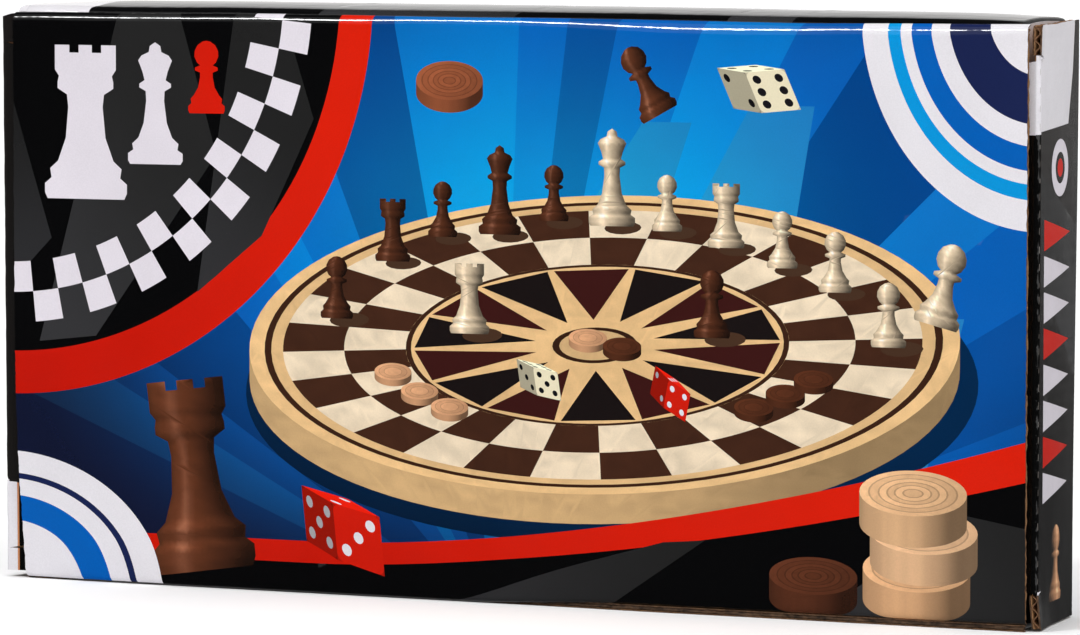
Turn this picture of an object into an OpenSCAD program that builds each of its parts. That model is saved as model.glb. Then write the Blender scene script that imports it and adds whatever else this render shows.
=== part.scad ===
// Games compendium box: a folding corrugated carton, standing on its long
// narrow panel with both ends tucked shut, and the folding wooden game case
// with its pieces inside it.
// X runs along the box, the front panel faces -Y, Z is up.
// The origin is the middle of the underside.

/* [Carton] */
// Length of the front panel
carton_w = 300; // [292:1:330]
// Height of the standing carton
carton_h = 158; // [156:1:175]
// Depth from the front face to the back face
carton_d = 38; // [38:0.5:44]
// Thickness of the corrugated board
board_t = 1.7; // [1.5:0.1:1.8]
// How far the closed top panel bows up between its folds
top_crown = 2.6; // [0.5:0.1:3]

/* [Ends] */
// Angle that each tucked end stands open
sprung = 4.5; // [2:0.5:6]
// Length of the tuck tab that slides behind the front panel
tab_l = 15; // [10:0.5:16]
// Height of the locking shoulder at each end of the tuck tab
shoulder_h = 9; // [7:0.5:12]
// Length of the dust flaps
flap_l = 28; // [20:1:32]
// Lean of the tucked tab towards the inside
tab_lean = 7; // [6:0.5:7.5]
// Play between folded layers of board
play = 0.3; // [0.2:0.05:0.4]

/* [Wooden case] */
// Length of the folded case
case_w = 290; // [280:1:291]
// Height of the folded case
case_h = 145; // [140:1:147]
// Depth of one half of the case
half_d = 15; // [14:0.5:15]
// Thickness of the rails
rail_t = 8; // [6:0.5:9]
// Thickness of the board panels
panel_t = 3.5; // [2.5:0.5:4]
// Depth of the rebate that carries a board panel
rebate = 4; // [3:0.5:5]

/* [Hinges and clasp] */
// Length of a hinge leaf
leaf_l = 32; // [24:1:40]
// Width of a hinge leaf
leaf_w = 7; // [6:0.5:7.5]
// Thickness of a hinge leaf
leaf_t = 0.8; // [0.6:0.1:1]
// Radius of the hinge knuckle
knuckle_r = 1.3; // [1.2:0.05:1.3]
// Radius of the hinge pin
pin_r = 0.6; // [0.5:0.05:0.7]
// Distance of each hinge from the middle
hinge_x = 90; // [60:5:110]

/* [Pieces] */
// Diameter of a draughtsman
disc_d = 22.5; // [20:0.5:22.5]
// Thickness of a draughtsman
disc_t = 6; // [5:0.25:6.5]
// Side of a die
die_a = 12; // [10:0.5:13]
// Side of the doubling cube
cube_a = 16; // [14:0.5:17]
// Scale of the chessmen
man_k = 1; // [0.9:0.01:1]

/* [Hidden] */
$fn = 48;

t = board_t;
// outer half sizes
hw = carton_w / 2;
hd = carton_d / 2;
// fold line of an end closure, in the middle of the board's thickness
hinge_px = hw - t / 2;
hinge_py = hd - t / 2;
// fold line of the tuck tab when the end is pressed right home
tab_py = -(hd - t - play - t / 2);
// fold lines of the dust flaps
flap_px = hw - t - 0.2 - t / 2;
flap_top_pz = carton_h - t / 2;
flap_bot_pz = t / 2;
// share of the closure's turn that a dust flap takes
flap_k = 0.5;
// share of the closure's turn by which the tab folds further in
tab_k = 0.2;

// wooden case
case_z0 = 2 * t + knuckle_r + 0.3;
case_y1 = hd - t - 0.4;
case_y0 = case_y1 - 2 * half_d;
case_ym = case_y1 - half_d;
// hollow of the closed case
hol_x = case_w / 2 - rail_t;
hol_z0 = case_z0 + rail_t;
// radius of each row of pieces from the hinge rail up, and the height of its lowest point
row_r = [disc_d / 2, 10.4, 9.5, 9.5, 9.5, 8.5];
function row_z(i) = i == 0 ? rail_t + 0.3 : row_z(i - 1) + 2 * row_r[i - 1] + 0.4;

function arc(cx, cy, r, a0, a1, n = 8) =
    [for (i = [0:n]) let (a = a0 + (a1 - a0) * i / n) [cx + r * cos(a), cy + r * sin(a)]];

// ---------------------------------------------------------------- carton

module front_panel() {
    // the lower front edge is rounded where the board turns under to the glue tab
    color([0.02, 0.25, 0.6])
    translate([-hw, 0, 0]) rotate([90, 0, 90]) linear_extrude(carton_w)
        polygon(concat(
            [[-hd + t, t], [-hd + t, carton_h - t], [-hd, carton_h - t]],
            arc(-hd + t, 2 * t, t, 180, 270)));
}

module crown_block(x, c) {
    // a slice of the bowed top, solid below
    n = 10;
    w = hd - t;
    translate([x, 0, 0]) rotate([90, 0, 90]) linear_extrude(0.02)
        polygon(concat(
            [[w, carton_h - 8], [-w, carton_h - 8]],
            [for (i = [0:n]) let (u = -1 + 2 * i / n)
                [w * u, carton_h + c * (1 - u * u)]]));
}

module crown_solid() {
    xe = flap_px;
    hull() { crown_block(-xe, top_crown * 0.7); crown_block(-40, top_crown); }
    hull() { crown_block(-40, top_crown); crown_block(xe - 0.02, 0.2); }
}

module top_panel() {
    // bowed sheet with the two long folds, and a rounded bead at each end fold
    color([0.55, 0.55, 0.58]) {
        difference() {
            crown_solid();
            translate([0, 0, -t]) crown_solid();
        }
        // the front fold runs the whole length, the back fold stops at the end folds
        for (s = [-1, 1]) let (x = s > 0 ? hw - t : hw)
            translate([-x, s * (hd - t), carton_h - t]) rotate([90, 0, 90])
                linear_extrude(2 * x) mirror([s > 0 ? 0 : 1, 0, 0])
                    intersection() { circle(t); square(t); }
        for (s = [-1, 1])
            translate([s * flap_px, hd - t - 0.4, flap_top_pz]) rotate([90, 0, 0])
                cylinder(r = t / 2, h = 2 * (hd - t - 0.4));
    }
}

module back_panel() {
    xe = hinge_px - t / 2;
    color([0.2, 0.2, 0.2]) {
        translate([-hinge_px, hd - t, t]) cube([2 * hinge_px, t, carton_h - 2 * t]);
        // long fold to the underside
        translate([-xe, hd - t, t]) rotate([90, 0, 90]) linear_extrude(2 * xe)
            intersection() { circle(t); translate([0, -t]) square(t); }
        // beads of the two end folds
        for (s = [-1, 1])
            translate([s * hinge_px, hinge_py, t]) cylinder(r = t / 2, h = carton_h - 2 * t);
    }
}

module bottom_panel() {
    // its cut front edge stays in sight below the front panel
    xe = flap_px;
    color([0.6, 0.45, 0.32]) {
        translate([-xe, -hd, 0]) cube([2 * xe, 2 * hd - t, t]);
        translate([-hw, -hd, 0]) cube([2 * hw, t, t]);
        for (s = [-1, 1])
            translate([s * flap_px, hd - t - 0.4, flap_bot_pz]) rotate([90, 0, 0])
                cylinder(r = t / 2, h = 2 * (hd - t - 0.4));
    }
}

module glue_tab() {
    // turned in from the front panel and glued on the bottom panel
    color([0.6, 0.45, 0.32])
    translate([0, 0, t]) linear_extrude(t)
        polygon([[-hw + 7, -hd + t], [hw - 7, -hd + t], [hw - 16, 6], [-hw + 16, 6]]);
}

// outline of a closure in the plane of the board: u from the fold, z up
module closure_home() {
    u0 = t / 2 + 0.05;
    u1 = hinge_py - tab_py - t / 2;
    u2 = hinge_py - tab_py + t / 2;
    z0 = 0.5;
    z1 = carton_h - 0.5;
    translate([hinge_px - t / 2, hinge_py, 0]) rotate([90, 0, 90]) linear_extrude(t)
        polygon([[-u0, z0], [-u0, z1], [-u2 + 1.2, z1], [-u2, z1 - 1.2],
            [-u2, z1 - shoulder_h], [-u1, z1 - shoulder_h],
            [-u1, z0 + shoulder_h], [-u2, z0 + shoulder_h],
            [-u2, z0 + 1.2], [-u2 + 1.2, z0]]);
    // bead of the tuck fold, carried by the outer half of the board
    translate([hinge_px, tab_py, z0 + shoulder_h + 0.2])
        cylinder(r = t / 2, h = z1 - z0 - 2 * shoulder_h - 0.4);
    translate([hinge_px, tab_py, z0 + shoulder_h + 0.2])
        cube([t / 2, t / 2 + 0.5, z1 - z0 - 2 * shoulder_h - 0.4]);
}

module end_closure() {
    translate([hinge_px, hinge_py, 0]) rotate(sprung) translate([-hinge_px, -hinge_py, 0])
        closure_home();
}

// the tab, turned about its own fold first and then with the closure
module tuck_tab() {
    z0 = shoulder_h + 0.9;
    z1 = carton_h - shoulder_h - 0.9;
    c = 9;
    translate([hinge_px, hinge_py, 0]) rotate(sprung) translate([-hinge_px, -hinge_py, 0])
    translate([hinge_px, tab_py, 0]) rotate(-tab_lean - tab_k * sprung) difference() {
        translate([0, t / 2, 0]) rotate([90, 0, 0]) linear_extrude(t)
            polygon(concat([[-t / 2 - 0.05, z0]],
                [[-t / 2 - 0.05, z1]],
                arc(-tab_l + c, z1 - c - 1, c, 90, 180, 10),
                arc(-tab_l + c, z0 + c + 1, c, 180, 270, 10)));
        // the crushed inside of the fold, so that the tab can fold past square
        translate([0, 0, -1]) linear_extrude(carton_h + 2)
            polygon([[0, -0.1], [-t / 2 - 0.05, -0.1], [-3, t / 2 + 0.01], [-3, t], [0, t]]);
    }
}

// a dust flap that hangs from the top fold: v down from the fold, y across
module dust_flap_home(v1) {
    v0 = t / 2 + 0.05;
    s0 = 2.6;
    b = 0.62;
    yb = hinge_py - s0;
    translate([t / 2, 0, 0]) rotate([90, 0, -90]) linear_extrude(t)
        polygon([[-(yb), -v0], [-(yb - b * v1), -v1],
            [hd - t - 7.5, -v1], [hd - t - 4.2, -v1 + 6],
            [hd - t - 4.2, -shoulder_h - 1.6], [hd - t - 0.8, -shoulder_h + 1.2],
            [hd - t - 0.8, -v0]]);
}

module top_dust_flap() {
    translate([flap_px, 0, flap_top_pz]) rotate([0, -flap_k * sprung, 0]) dust_flap_home(flap_l);
}

module bottom_dust_flap() {
    translate([flap_px, 0, flap_bot_pz]) rotate([0, flap_k * sprung, 0])
        mirror([0, 0, 1]) dust_flap_home(flap_l);
}

module right_end_closure() { color([0.25, 0.24, 0.23]) end_closure(); }
module left_end_closure() { color([0.25, 0.24, 0.23]) mirror([1, 0, 0]) end_closure(); }
module right_tuck_tab() { color([0.05, 0.05, 0.05]) tuck_tab(); }
module left_tuck_tab() { color([0.05, 0.05, 0.05]) mirror([1, 0, 0]) tuck_tab(); }
module right_top_dust_flap() { color([0.6, 0.45, 0.32]) top_dust_flap(); }
module left_top_dust_flap() { color([0.6, 0.45, 0.32]) mirror([1, 0, 0]) top_dust_flap(); }
module right_bottom_dust_flap() { color([0.6, 0.45, 0.32]) bottom_dust_flap(); }
module left_bottom_dust_flap() { color([0.6, 0.45, 0.32]) mirror([1, 0, 0]) bottom_dust_flap(); }

// ----------------------------------------------------------- wooden case
// One half lies with its outer face at y = 0 and its open side at y = half_d,
// and its hinge rail at z = 0.

module place_half(back) {
    if (back) translate([0, case_y1, case_z0]) mirror([0, 1, 0]) children();
    else translate([0, case_y0, case_z0]) children();
}

module case_board() {
    w = case_w - 2 * rail_t + 2 * rebate;
    h = case_h - 2 * rail_t + 2 * rebate;
    translate([-w / 2, 0, rail_t - rebate]) cube([w, panel_t, h]);
}

module long_rail(z) {
    fy = half_d / 3;
    difference() {
        translate([-case_w / 2, 0, z]) cube([case_w, half_d, rail_t]);
        case_board();
        // sockets of the box joint
        for (s = [-1, 1])
            translate([s * (case_w - rail_t) / 2 - rail_t / 2 - (s > 0 ? 0 : 1), fy, z - 1])
                cube([rail_t + 1, fy, rail_t + 2]);
    }
}

// holes and recesses of the two butt hinges
module hinge_seats() {
    for (s = [-1, 1]) translate([s * hinge_x, 0, 0]) {
        translate([-leaf_l / 2, half_d - leaf_t, -1]) cube([leaf_l, leaf_t + 1, leaf_w + 1]);
        translate([-leaf_l / 2, half_d, -0.3]) rotate([0, 90, 0]) cylinder(r = knuckle_r + 0.15, h = leaf_l);
        for (q = [-1, 1]) translate([q * leaf_l * 0.3, half_d, leaf_w * 0.62]) rotate([90, 0, 0])
            cylinder(r = 0.9, h = 6.5);
    }
}

module hinge_rail() { difference() { long_rail(0); hinge_seats(); } }

module clasp_rail(back) {
    difference() {
        long_rail(case_h - rail_t);
        translate([back ? 7 : -7, half_d - 6, case_h - 4]) cylinder(r = 0.9, h = 5);
    }
}

module end_rails() {
    fy = half_d / 3;
    for (s = [-1, 1]) difference() {
        translate([s * (case_w - rail_t) / 2, 0, 0]) {
            translate([-rail_t / 2, 0, rail_t]) cube([rail_t, half_d, case_h - 2 * rail_t]);
            translate([-rail_t / 2, fy, 0]) cube([rail_t, fy, case_h]);
        }
        case_board();
    }
}

module case_front_board() { color([0.85, 0.68, 0.46]) place_half(false) case_board(); }
module case_back_board() { color([0.85, 0.68, 0.46]) place_half(true) case_board(); }
module case_front_hinge_rail() { color([0.82, 0.62, 0.4]) place_half(false) hinge_rail(); }
module case_back_hinge_rail() { color([0.82, 0.62, 0.4]) place_half(true) hinge_rail(); }
module case_front_clasp_rail() { color([0.82, 0.62, 0.4]) place_half(false) clasp_rail(false); }
module case_back_clasp_rail() { color([0.82, 0.62, 0.4]) place_half(true) clasp_rail(true); }
module case_front_end_rails() { color([0.8, 0.6, 0.38]) place_half(false) end_rails(); }
module case_back_end_rails() { color([0.8, 0.6, 0.38]) place_half(true) end_rails(); }

// a leaf with knuckles: the front leaf has the two outer ones, the back leaf the middle one
module hinge_leaf(middle) {
    k = leaf_l / 4;
    difference() {
        union() {
            translate([-leaf_l / 2, half_d - leaf_t, -0.3]) cube([leaf_l, leaf_t, leaf_w + 0.3]);
            if (middle) translate([-k + 0.1, half_d, -0.3]) rotate([0, 90, 0])
                cylinder(r = knuckle_r, h = 2 * k - 0.2);
            else for (x = [-2 * k, k]) translate([x, half_d, -0.3]) rotate([0, 90, 0])
                cylinder(r = knuckle_r, h = k);
        }
        // room for the other leaf's knuckles
        if (middle) for (x = [-2 * k - 1, k - 0.1]) translate([x, half_d, -0.3]) rotate([0, 90, 0])
            cylinder(r = knuckle_r + 0.1, h = k + 1.1);
        else translate([-k, half_d, -0.3]) rotate([0, 90, 0])
            cylinder(r = knuckle_r + 0.1, h = 2 * k);
        translate([-leaf_l, half_d, -0.3]) rotate([0, 90, 0]) cylinder(r = pin_r + 0.04, h = 2 * leaf_l);
        for (q = [-1, 1]) translate([q * leaf_l * 0.3, half_d + 1, leaf_w * 0.62]) rotate([90, 0, 0])
            cylinder(r = 0.9, h = 3);
    }
}

module hinge_front_leaves() {
    color([0.8, 0.6, 0.25]) place_half(false)
        for (s = [-1, 1]) translate([s * hinge_x, 0, 0]) hinge_leaf(false);
}

module hinge_back_leaves() {
    color([0.8, 0.6, 0.25]) place_half(true)
        for (s = [-1, 1]) translate([s * hinge_x, 0, 0]) hinge_leaf(true);
}

module hinge_pins() {
    color([0.75, 0.55, 0.22]) for (s = [-1, 1])
        translate([s * hinge_x - leaf_l / 2, case_ym, case_z0 - 0.3]) rotate([0, 90, 0])
            cylinder(r = pin_r, h = leaf_l);
}

module hinge_screws() {
    color([0.78, 0.6, 0.3]) for (b = [false, true]) place_half(b)
        for (s = [-1, 1], q = [-1, 1])
            translate([s * hinge_x + q * leaf_l * 0.3, half_d - 0.05, leaf_w * 0.62]) rotate([90, 0, 0])
                cylinder(r = 0.9, h = 6);
}

module clasp_plates() {
    // two round-cornered plates on the clasp rails
    color([0.8, 0.6, 0.25]) for (b = [0, 1])
        translate([b ? 7 : -7, case_ym + (b ? 6 : -6), case_z0 + case_h]) difference() {
            linear_extrude(0.6) union() {
                square([8, 8], center = true);
                for (s = [-1, 1]) translate([s * 4, 0]) circle(2.4);
            }
            translate([0, 0, -1]) cylinder(r = 0.9, h = 3);
        }
}

module clasp_studs() {
    color([0.78, 0.6, 0.3]) for (b = [0, 1])
        translate([b ? 7 : -7, case_ym + (b ? 6 : -6), case_z0 + case_h]) rotate_extrude()
            polygon([[0, -3.8], [0.9, -3.8], [0.9, 1.9], [1.9, 1.9], [1.9, 2.5], [1.2, 2.9], [0, 2.9]]);
}

module clasp_hook() {
    // a flat arm that turns on one stud and hooks round the other
    a = [-7, case_ym - 6];
    b = [7, case_ym + 6];
    color([0.8, 0.6, 0.25]) translate([0, 0, case_z0 + case_h + 0.7]) difference() {
        linear_extrude(1) union() {
            translate(a) circle(2.6);
            translate(b) circle(2.8);
            translate(a) rotate(atan2(12, 14)) translate([0, -1.1]) square([18, 2.2]);
        }
        translate([a[0], a[1], -1]) cylinder(r = 0.95, h = 3);
        translate([b[0], b[1], -1]) cylinder(r = 1.05, h = 3);
        // mouth of the hook
        translate([b[0], b[1], -1]) rotate(atan2(12, 14) - 90) translate([0, -1.05, 0]) cube([6, 2.1, 3]);
    }
}

// ---------------------------------------------------------------- pieces
// A chessman lies along +X with its foot at x = 0. A profile gives radius and
// height, and h is the height of the man.

module lying(x, row) {
    translate([-hol_x + x, case_ym, case_z0 + row_z(row) + row_r[row]]) rotate([0, 90, 0]) scale(man_k) children();
}

module turned(p) { rotate_extrude() polygon(p); }

module pawn() {
    turned([[0, 0], [8.5, 0], [8.5, 3], [7, 4.5], [6.4, 7], [4, 11], [3.2, 17], [5.2, 19], [5.2, 20.4], [3.4, 21.6],
        [3.9, 22.6], [5.3, 25.2], [5.3, 28], [3.9, 31], [1.6, 32.8], [0, 33]]);
}

module rook() {
    difference() {
        turned([[0, 0], [9.5, 0], [9.5, 3.2], [7.8, 5], [7, 8], [5.2, 12], [4.8, 22], [6.6, 25], [7, 27], [7, 34],
            [5, 34], [5, 31], [0, 31]]);
        for (a = [0, 60, 120]) rotate(a) translate([-10, -0.9, 31]) cube([20, 1.8, 5]);
    }
}

module bishop() {
    difference() {
        turned([[0, 0], [9.5, 0], [9.5, 3.2], [7.8, 5], [6.8, 8], [4.2, 14], [3.2, 26], [5.8, 28.5], [5.8, 30], [3.6, 31.4],
            [4.4, 33.4], [5.6, 37], [5, 40.5], [2.4, 44], [1.6, 45], [1.9, 46.4], [0, 47.4]]);
        translate([1.2, -8, 38]) rotate([0, 35, 0]) cube([1.1, 16, 9]);
    }
}

module queen() {
    difference() {
        turned([[0, 0], [10.2, 0], [10.2, 3.4], [8.4, 5.4], [7.2, 9], [4.6, 16], [3.4, 34], [6.2, 36.6], [6.2, 38.2],
            [4, 39.8], [4.8, 45], [7.2, 52], [5.4, 52], [4, 50.6], [2.2, 51.4], [2.4, 54.2], [0, 55.4]]);
        for (i = [0:7]) rotate(i * 45 + 22.5) translate([7.4, 0, 52.6]) rotate([0, 90, 0]) cylinder(r = 1.4, h = 5, center = true, $fn = 24);
    }
}

module king() {
    turned([[0, 0], [10.4, 0], [10.4, 3.6], [8.6, 5.6], [7.4, 9.4], [4.8, 17], [3.6, 38], [6.6, 40.6], [6.6, 42.4],
        [4.4, 44], [5, 48], [6.8, 54], [6.2, 55], [2, 56.6], [0, 56.8]]);
    translate([-1.1, -1.3, 55.5]) cube([2.2, 2.6, 6.5]);
    translate([-1.1, -2.9, 58]) cube([2.2, 5.8, 2]);
}

module knight() {
    turned([[0, 0], [9.5, 0], [9.5, 3.2], [7.8, 5], [7, 8], [5.4, 11.5], [6.2, 13], [6.2, 14.6], [0, 14.6]]);
    // flat-cut head
    translate([0, 4, 14]) rotate([90, 0, 0]) linear_extrude(8)
        polygon([[-4.6, 0], [4.4, 0], [4.9, 5], [3.2, 10], [3.8, 12], [8, 10.6], [9, 13.2], [7.6, 16], [3.4, 20],
            [2.6, 23.4], [0.8, 25.4], [-0.2, 22.8], [-3.8, 20], [-6, 14], [-6.2, 7]]);
}

module king_light() { color([0.86, 0.7, 0.48]) lying(0.8, 1) king(); }
module king_dark() { color([0.28, 0.15, 0.09]) lying(64, 1) king(); }
module queen_light() { color([0.86, 0.7, 0.48]) lying(127, 1) queen(); }
module queen_dark() { color([0.28, 0.15, 0.09]) lying(184, 1) queen(); }
module bishops_light() { color([0.86, 0.7, 0.48]) for (x = [0.8, 49]) lying(x, 2) bishop(); }
module bishops_dark() { color([0.28, 0.15, 0.09]) for (x = [97.2, 145.4]) lying(x, 2) bishop(); }
module knights_light() { color([0.86, 0.7, 0.48]) for (x = [0.8, 41]) lying(x, 3) knight(); }
module knights_dark() { color([0.28, 0.15, 0.09]) for (x = [81.2, 121.4]) lying(x, 3) knight(); }
module rooks_light() { color([0.86, 0.7, 0.48]) for (x = [0.8, 35.6]) lying(x, 4) rook(); }
module rooks_dark() { color([0.28, 0.15, 0.09]) for (x = [70.4, 105.2]) lying(x, 4) rook(); }

module pawns_light() {
    color([0.86, 0.7, 0.48]) {
        lying(194, 2) pawn();
        for (x = [161.8, 195.5]) lying(x, 3) pawn();
        lying(140.4, 4) pawn();
        for (i = [0:3]) lying(0.8 + i * 33.8, 5) pawn();
    }
}

module pawns_dark() {
    color([0.28, 0.15, 0.09]) {
        lying(228, 2) pawn();
        lying(229.2, 3) pawn();
        for (x = [174.4, 208.4]) lying(x, 4) pawn();
        for (i = [4:7]) lying(0.8 + i * 33.8, 5) pawn();
    }
}

// a draughtsman with concentric grooves in both faces
module draughtsman() {
    r = disc_d / 2;
    turned([[0, 0.5], [2.4, 0.5], [3, 0], [4.4, 0], [5, 0.5], [6.4, 0.5], [7, 0], [r - 0.6, 0], [r, 0.6],
        [r, disc_t - 0.6], [r - 0.6, disc_t], [7, disc_t], [6.4, disc_t - 0.5], [5, disc_t - 0.5], [4.4, disc_t],
        [3, disc_t], [2.4, disc_t - 0.5], [0, disc_t - 0.5]]);
}

module draughtsmen(x0) {
    for (i = [0:14]) translate([-hol_x + x0 + i * (disc_t + 0.1), case_ym, hol_z0 + disc_d / 2 + 0.3])
        rotate([0, 90, 0]) draughtsman();
}

module draughtsmen_light() { color([0.87, 0.72, 0.52]) draughtsmen(0.6); }
module draughtsmen_dark() { color([0.3, 0.16, 0.1]) draughtsmen(0.6 + 15 * (disc_t + 0.1) + 0.2); }

module die(a) {
    intersection() {
        cube(a, center = true);
        sphere(r = a * 0.71, $fn = 64);
    }
}

module dice_row(x, a, n) {
    for (i = [0:n - 1]) translate([-hol_x + x + a / 2 + i * (a + 0.6), case_ym, hol_z0 + a / 2 + 0.3]) die(a);
}

module ivory_dice() { color([0.92, 0.88, 0.78]) dice_row(186, die_a, 2); }
module red_dice() { color([0.75, 0.08, 0.05]) dice_row(212, die_a, 2); }
module doubling_cube() { color([0.93, 0.9, 0.82]) dice_row(238.4, cube_a, 1); }

front_panel();
top_panel();
back_panel();
bottom_panel();
glue_tab();
right_end_closure();
right_tuck_tab();
right_top_dust_flap();
right_bottom_dust_flap();
left_end_closure();
left_tuck_tab();
left_top_dust_flap();
left_bottom_dust_flap();
case_front_board();
case_front_hinge_rail();
case_front_clasp_rail();
case_front_end_rails();
case_back_board();
case_back_hinge_rail();
case_back_clasp_rail();
case_back_end_rails();
hinge_front_leaves();
hinge_back_leaves();
hinge_pins();
hinge_screws();
clasp_plates();
clasp_studs();
clasp_hook();
king_light();
king_dark();
queen_light();
queen_dark();
bishops_light();
bishops_dark();
knights_light();
knights_dark();
rooks_light();
rooks_dark();
pawns_light();
pawns_dark();
draughtsmen_light();
draughtsmen_dark();
ivory_dice();
red_dice();
doubling_cube();
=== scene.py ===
"""Looks of the games compendium box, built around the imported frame.

The carton's printed sheet is modelled as three layers: a printed outer liner, a fluted
medium and a brown inner liner. All lengths below are millimetres until K is applied.
"""

import math

import bpy
import numpy as np
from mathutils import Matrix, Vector, geometry


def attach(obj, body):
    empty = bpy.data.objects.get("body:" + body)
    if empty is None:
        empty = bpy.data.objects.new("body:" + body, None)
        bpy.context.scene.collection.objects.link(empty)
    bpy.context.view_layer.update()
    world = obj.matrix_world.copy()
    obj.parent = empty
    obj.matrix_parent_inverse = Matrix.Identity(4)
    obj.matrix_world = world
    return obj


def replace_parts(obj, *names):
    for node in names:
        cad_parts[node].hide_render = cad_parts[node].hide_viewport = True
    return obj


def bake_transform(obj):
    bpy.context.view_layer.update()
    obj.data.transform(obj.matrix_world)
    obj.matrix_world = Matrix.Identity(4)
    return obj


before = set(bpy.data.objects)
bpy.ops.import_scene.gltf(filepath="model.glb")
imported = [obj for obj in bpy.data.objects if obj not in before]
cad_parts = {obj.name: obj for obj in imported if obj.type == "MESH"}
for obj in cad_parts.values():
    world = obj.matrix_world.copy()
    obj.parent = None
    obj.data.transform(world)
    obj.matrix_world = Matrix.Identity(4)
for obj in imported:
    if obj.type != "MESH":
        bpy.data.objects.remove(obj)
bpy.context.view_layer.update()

K = 0.001
W, H, D, T = 300.0, 158.0, 38.0, 1.7
HW, HD = W / 2, D / 2
HX, HY = HW - T / 2, HD - T / 2  # fold line of an end closure
TABY = -(HD - T - 0.3 - T / 2)  # fold line of the tuck tab, end pressed home
FX = HW - T - 0.2 - T / 2  # fold line of the dust flaps
ZT, ZB = H - T / 2, T / 2
SPRUNG, LEAN, SWING = math.radians(4.5), math.radians(7.9), math.radians(2.25)
SHOULDER = 9.0
PITCH = 3.5
FOLD = 2.3  # radius of the long front fold at the top
LINER = 0.3
pi = math.pi


# ------------------------------------------------------------------ numbers

def lattice(i, j, seed):
    h = (i * 374761393 + j * 668265263 + seed * 974711) & 0xFFFFFFFF
    h = ((h ^ (h >> 13)) * 1274126177) & 0xFFFFFFFF
    return ((h ^ (h >> 16)) & 0xFFFF) / 32767.5 - 1.0


def rough(x, y=0.0, seed=0):
    """Smooth noise between -1 and 1, the same on every run."""
    x = np.asarray(x, float)
    y = np.asarray(y, float) + 0 * x
    x = x + 0 * y
    i, j = np.floor(x).astype(np.int64), np.floor(y).astype(np.int64)
    fx, fy = x - i, y - j
    fx, fy = fx * fx * (3 - 2 * fx), fy * fy * (3 - 2 * fy)
    a = lattice(i, j, seed) * (1 - fx) + lattice(i + 1, j, seed) * fx
    b = lattice(i, j + 1, seed) * (1 - fx) + lattice(i + 1, j + 1, seed) * fx
    return a * (1 - fy) + b * fy


def rough2(x, y=0.0, seed=0):
    return 0.62 * rough(x, y, seed) + 0.3 * rough(2.3 * np.asarray(x), 2.3 * np.asarray(y), seed + 7) \
        + 0.16 * rough(5.1 * np.asarray(x), 5.1 * np.asarray(y), seed + 13)


def smooth(a, b, x):
    t = np.clip((np.asarray(x, float) - a) / (b - a), 0, 1)
    return t * t * (3 - 2 * t)


def turned(x, y, cx, cy, a):
    c, s = math.cos(a), math.sin(a)
    return cx + (x - cx) * c - (y - cy) * s, cy + (x - cx) * s + (y - cy) * c


def inside(px, py, ring):
    """Even-odd test of many points against one closed ring."""
    ring = np.asarray(ring, float)
    lo, hi = ring.min(0), ring.max(0)
    out = np.zeros(len(px), bool)
    near = np.nonzero((px >= lo[0]) & (px <= hi[0]) & (py >= lo[1]) & (py <= hi[1]))[0]
    if not len(near):
        return out
    x, y = px[near], py[near]
    odd = np.zeros(len(near), bool)
    for (x0, y0), (x1, y1) in zip(ring, np.roll(ring, -1, 0)):
        if y0 == y1:
            continue
        cross = ((y0 > y) != (y1 > y)) & (x < x0 + (y - y0) * (x1 - x0) / (y1 - y0))
        odd ^= cross
    out[near] = odd
    return out


# ------------------------------------------------------------------ pieces

class Piece:
    """Collects faces with a material number and, for printed faces, an ink colour per corner."""

    def __init__(self, name, mats):
        self.name, self.mats = name, mats
        self.v, self.f, self.m, self.c = [], [], [], []
        self.n = 0

    def add(self, verts, faces, mat, ink=None):
        verts = np.asarray(verts, float).reshape(-1, 3)
        base = self.n
        self.v.append(verts)
        self.n += len(verts)
        for k, f in enumerate(faces):
            self.f.append([int(i) + base for i in f])
            self.m.append(mat)
            self.c.extend(ink[k] if ink is not None else [(0.2, 0.13, 0.08)] * len(f))
        return base

    def make(self, sharp=32):
        v = np.concatenate(self.v) * K
        me = bpy.data.meshes.new(self.name)
        me.from_pydata(v.tolist(), [], self.f)
        for m in self.mats:
            me.materials.append(m)
        me.polygons.foreach_set("material_index", self.m)
        me.polygons.foreach_set("use_smooth", [True] * len(self.f))
        ink = me.attributes.new("ink", "FLOAT_COLOR", "CORNER")
        flat = np.ones((len(self.c), 4))
        flat[:, :3] = np.asarray(self.c, float)
        ink.data.foreach_set("color", flat.ravel())
        me.set_sharp_from_angle(angle=math.radians(sharp))
        me.validate()
        me.update()
        ob = bpy.data.objects.new(self.name, me)
        bpy.context.scene.collection.objects.link(ob)
        return ob


def flips(at, u, w):
    """True where faces that run round u then w look into the board."""
    p = np.array(at(np.array([u]), np.array([w]), np.array([0.0]))).ravel()
    pu = np.array(at(np.array([u + 0.01]), np.array([w]), np.array([0.0]))).ravel() - p
    pw = np.array(at(np.array([u]), np.array([w + 0.01]), np.array([0.0]))).ravel() - p
    pn = np.array(at(np.array([u]), np.array([w]), np.array([0.05]))).ravel() - p
    return float(np.dot(np.cross(pu, pw), -pn)) < 0


def resample(ring, step):
    ring = np.asarray(ring, float)
    out = []
    for a, b in zip(ring, np.roll(ring, -1, 0)):
        n = max(1, int(np.hypot(*(b - a)) / step))
        out += [a + (b - a) * k / n for k in range(n)]
    return np.array(out)


def cdt(points, edges):
    vs, _, fs, *_ = geometry.delaunay_2d_cdt([Vector((float(a), float(b))) for a, b in points],
                                             [(int(a), int(b)) for a, b in edges], [], 0, 1e-5, False)
    return np.array([(v.x, v.y) for v in vs]), np.array([tuple(f) for f in fs], int)


def grid_in(ring, us, ws, jig=0.0):
    u, w = np.meshgrid(us, ws, indexing="ij")
    u, w = u.ravel(), w.ravel()
    keep = inside(u, w, ring)
    return np.stack([u[keep], w[keep]], 1)


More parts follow.
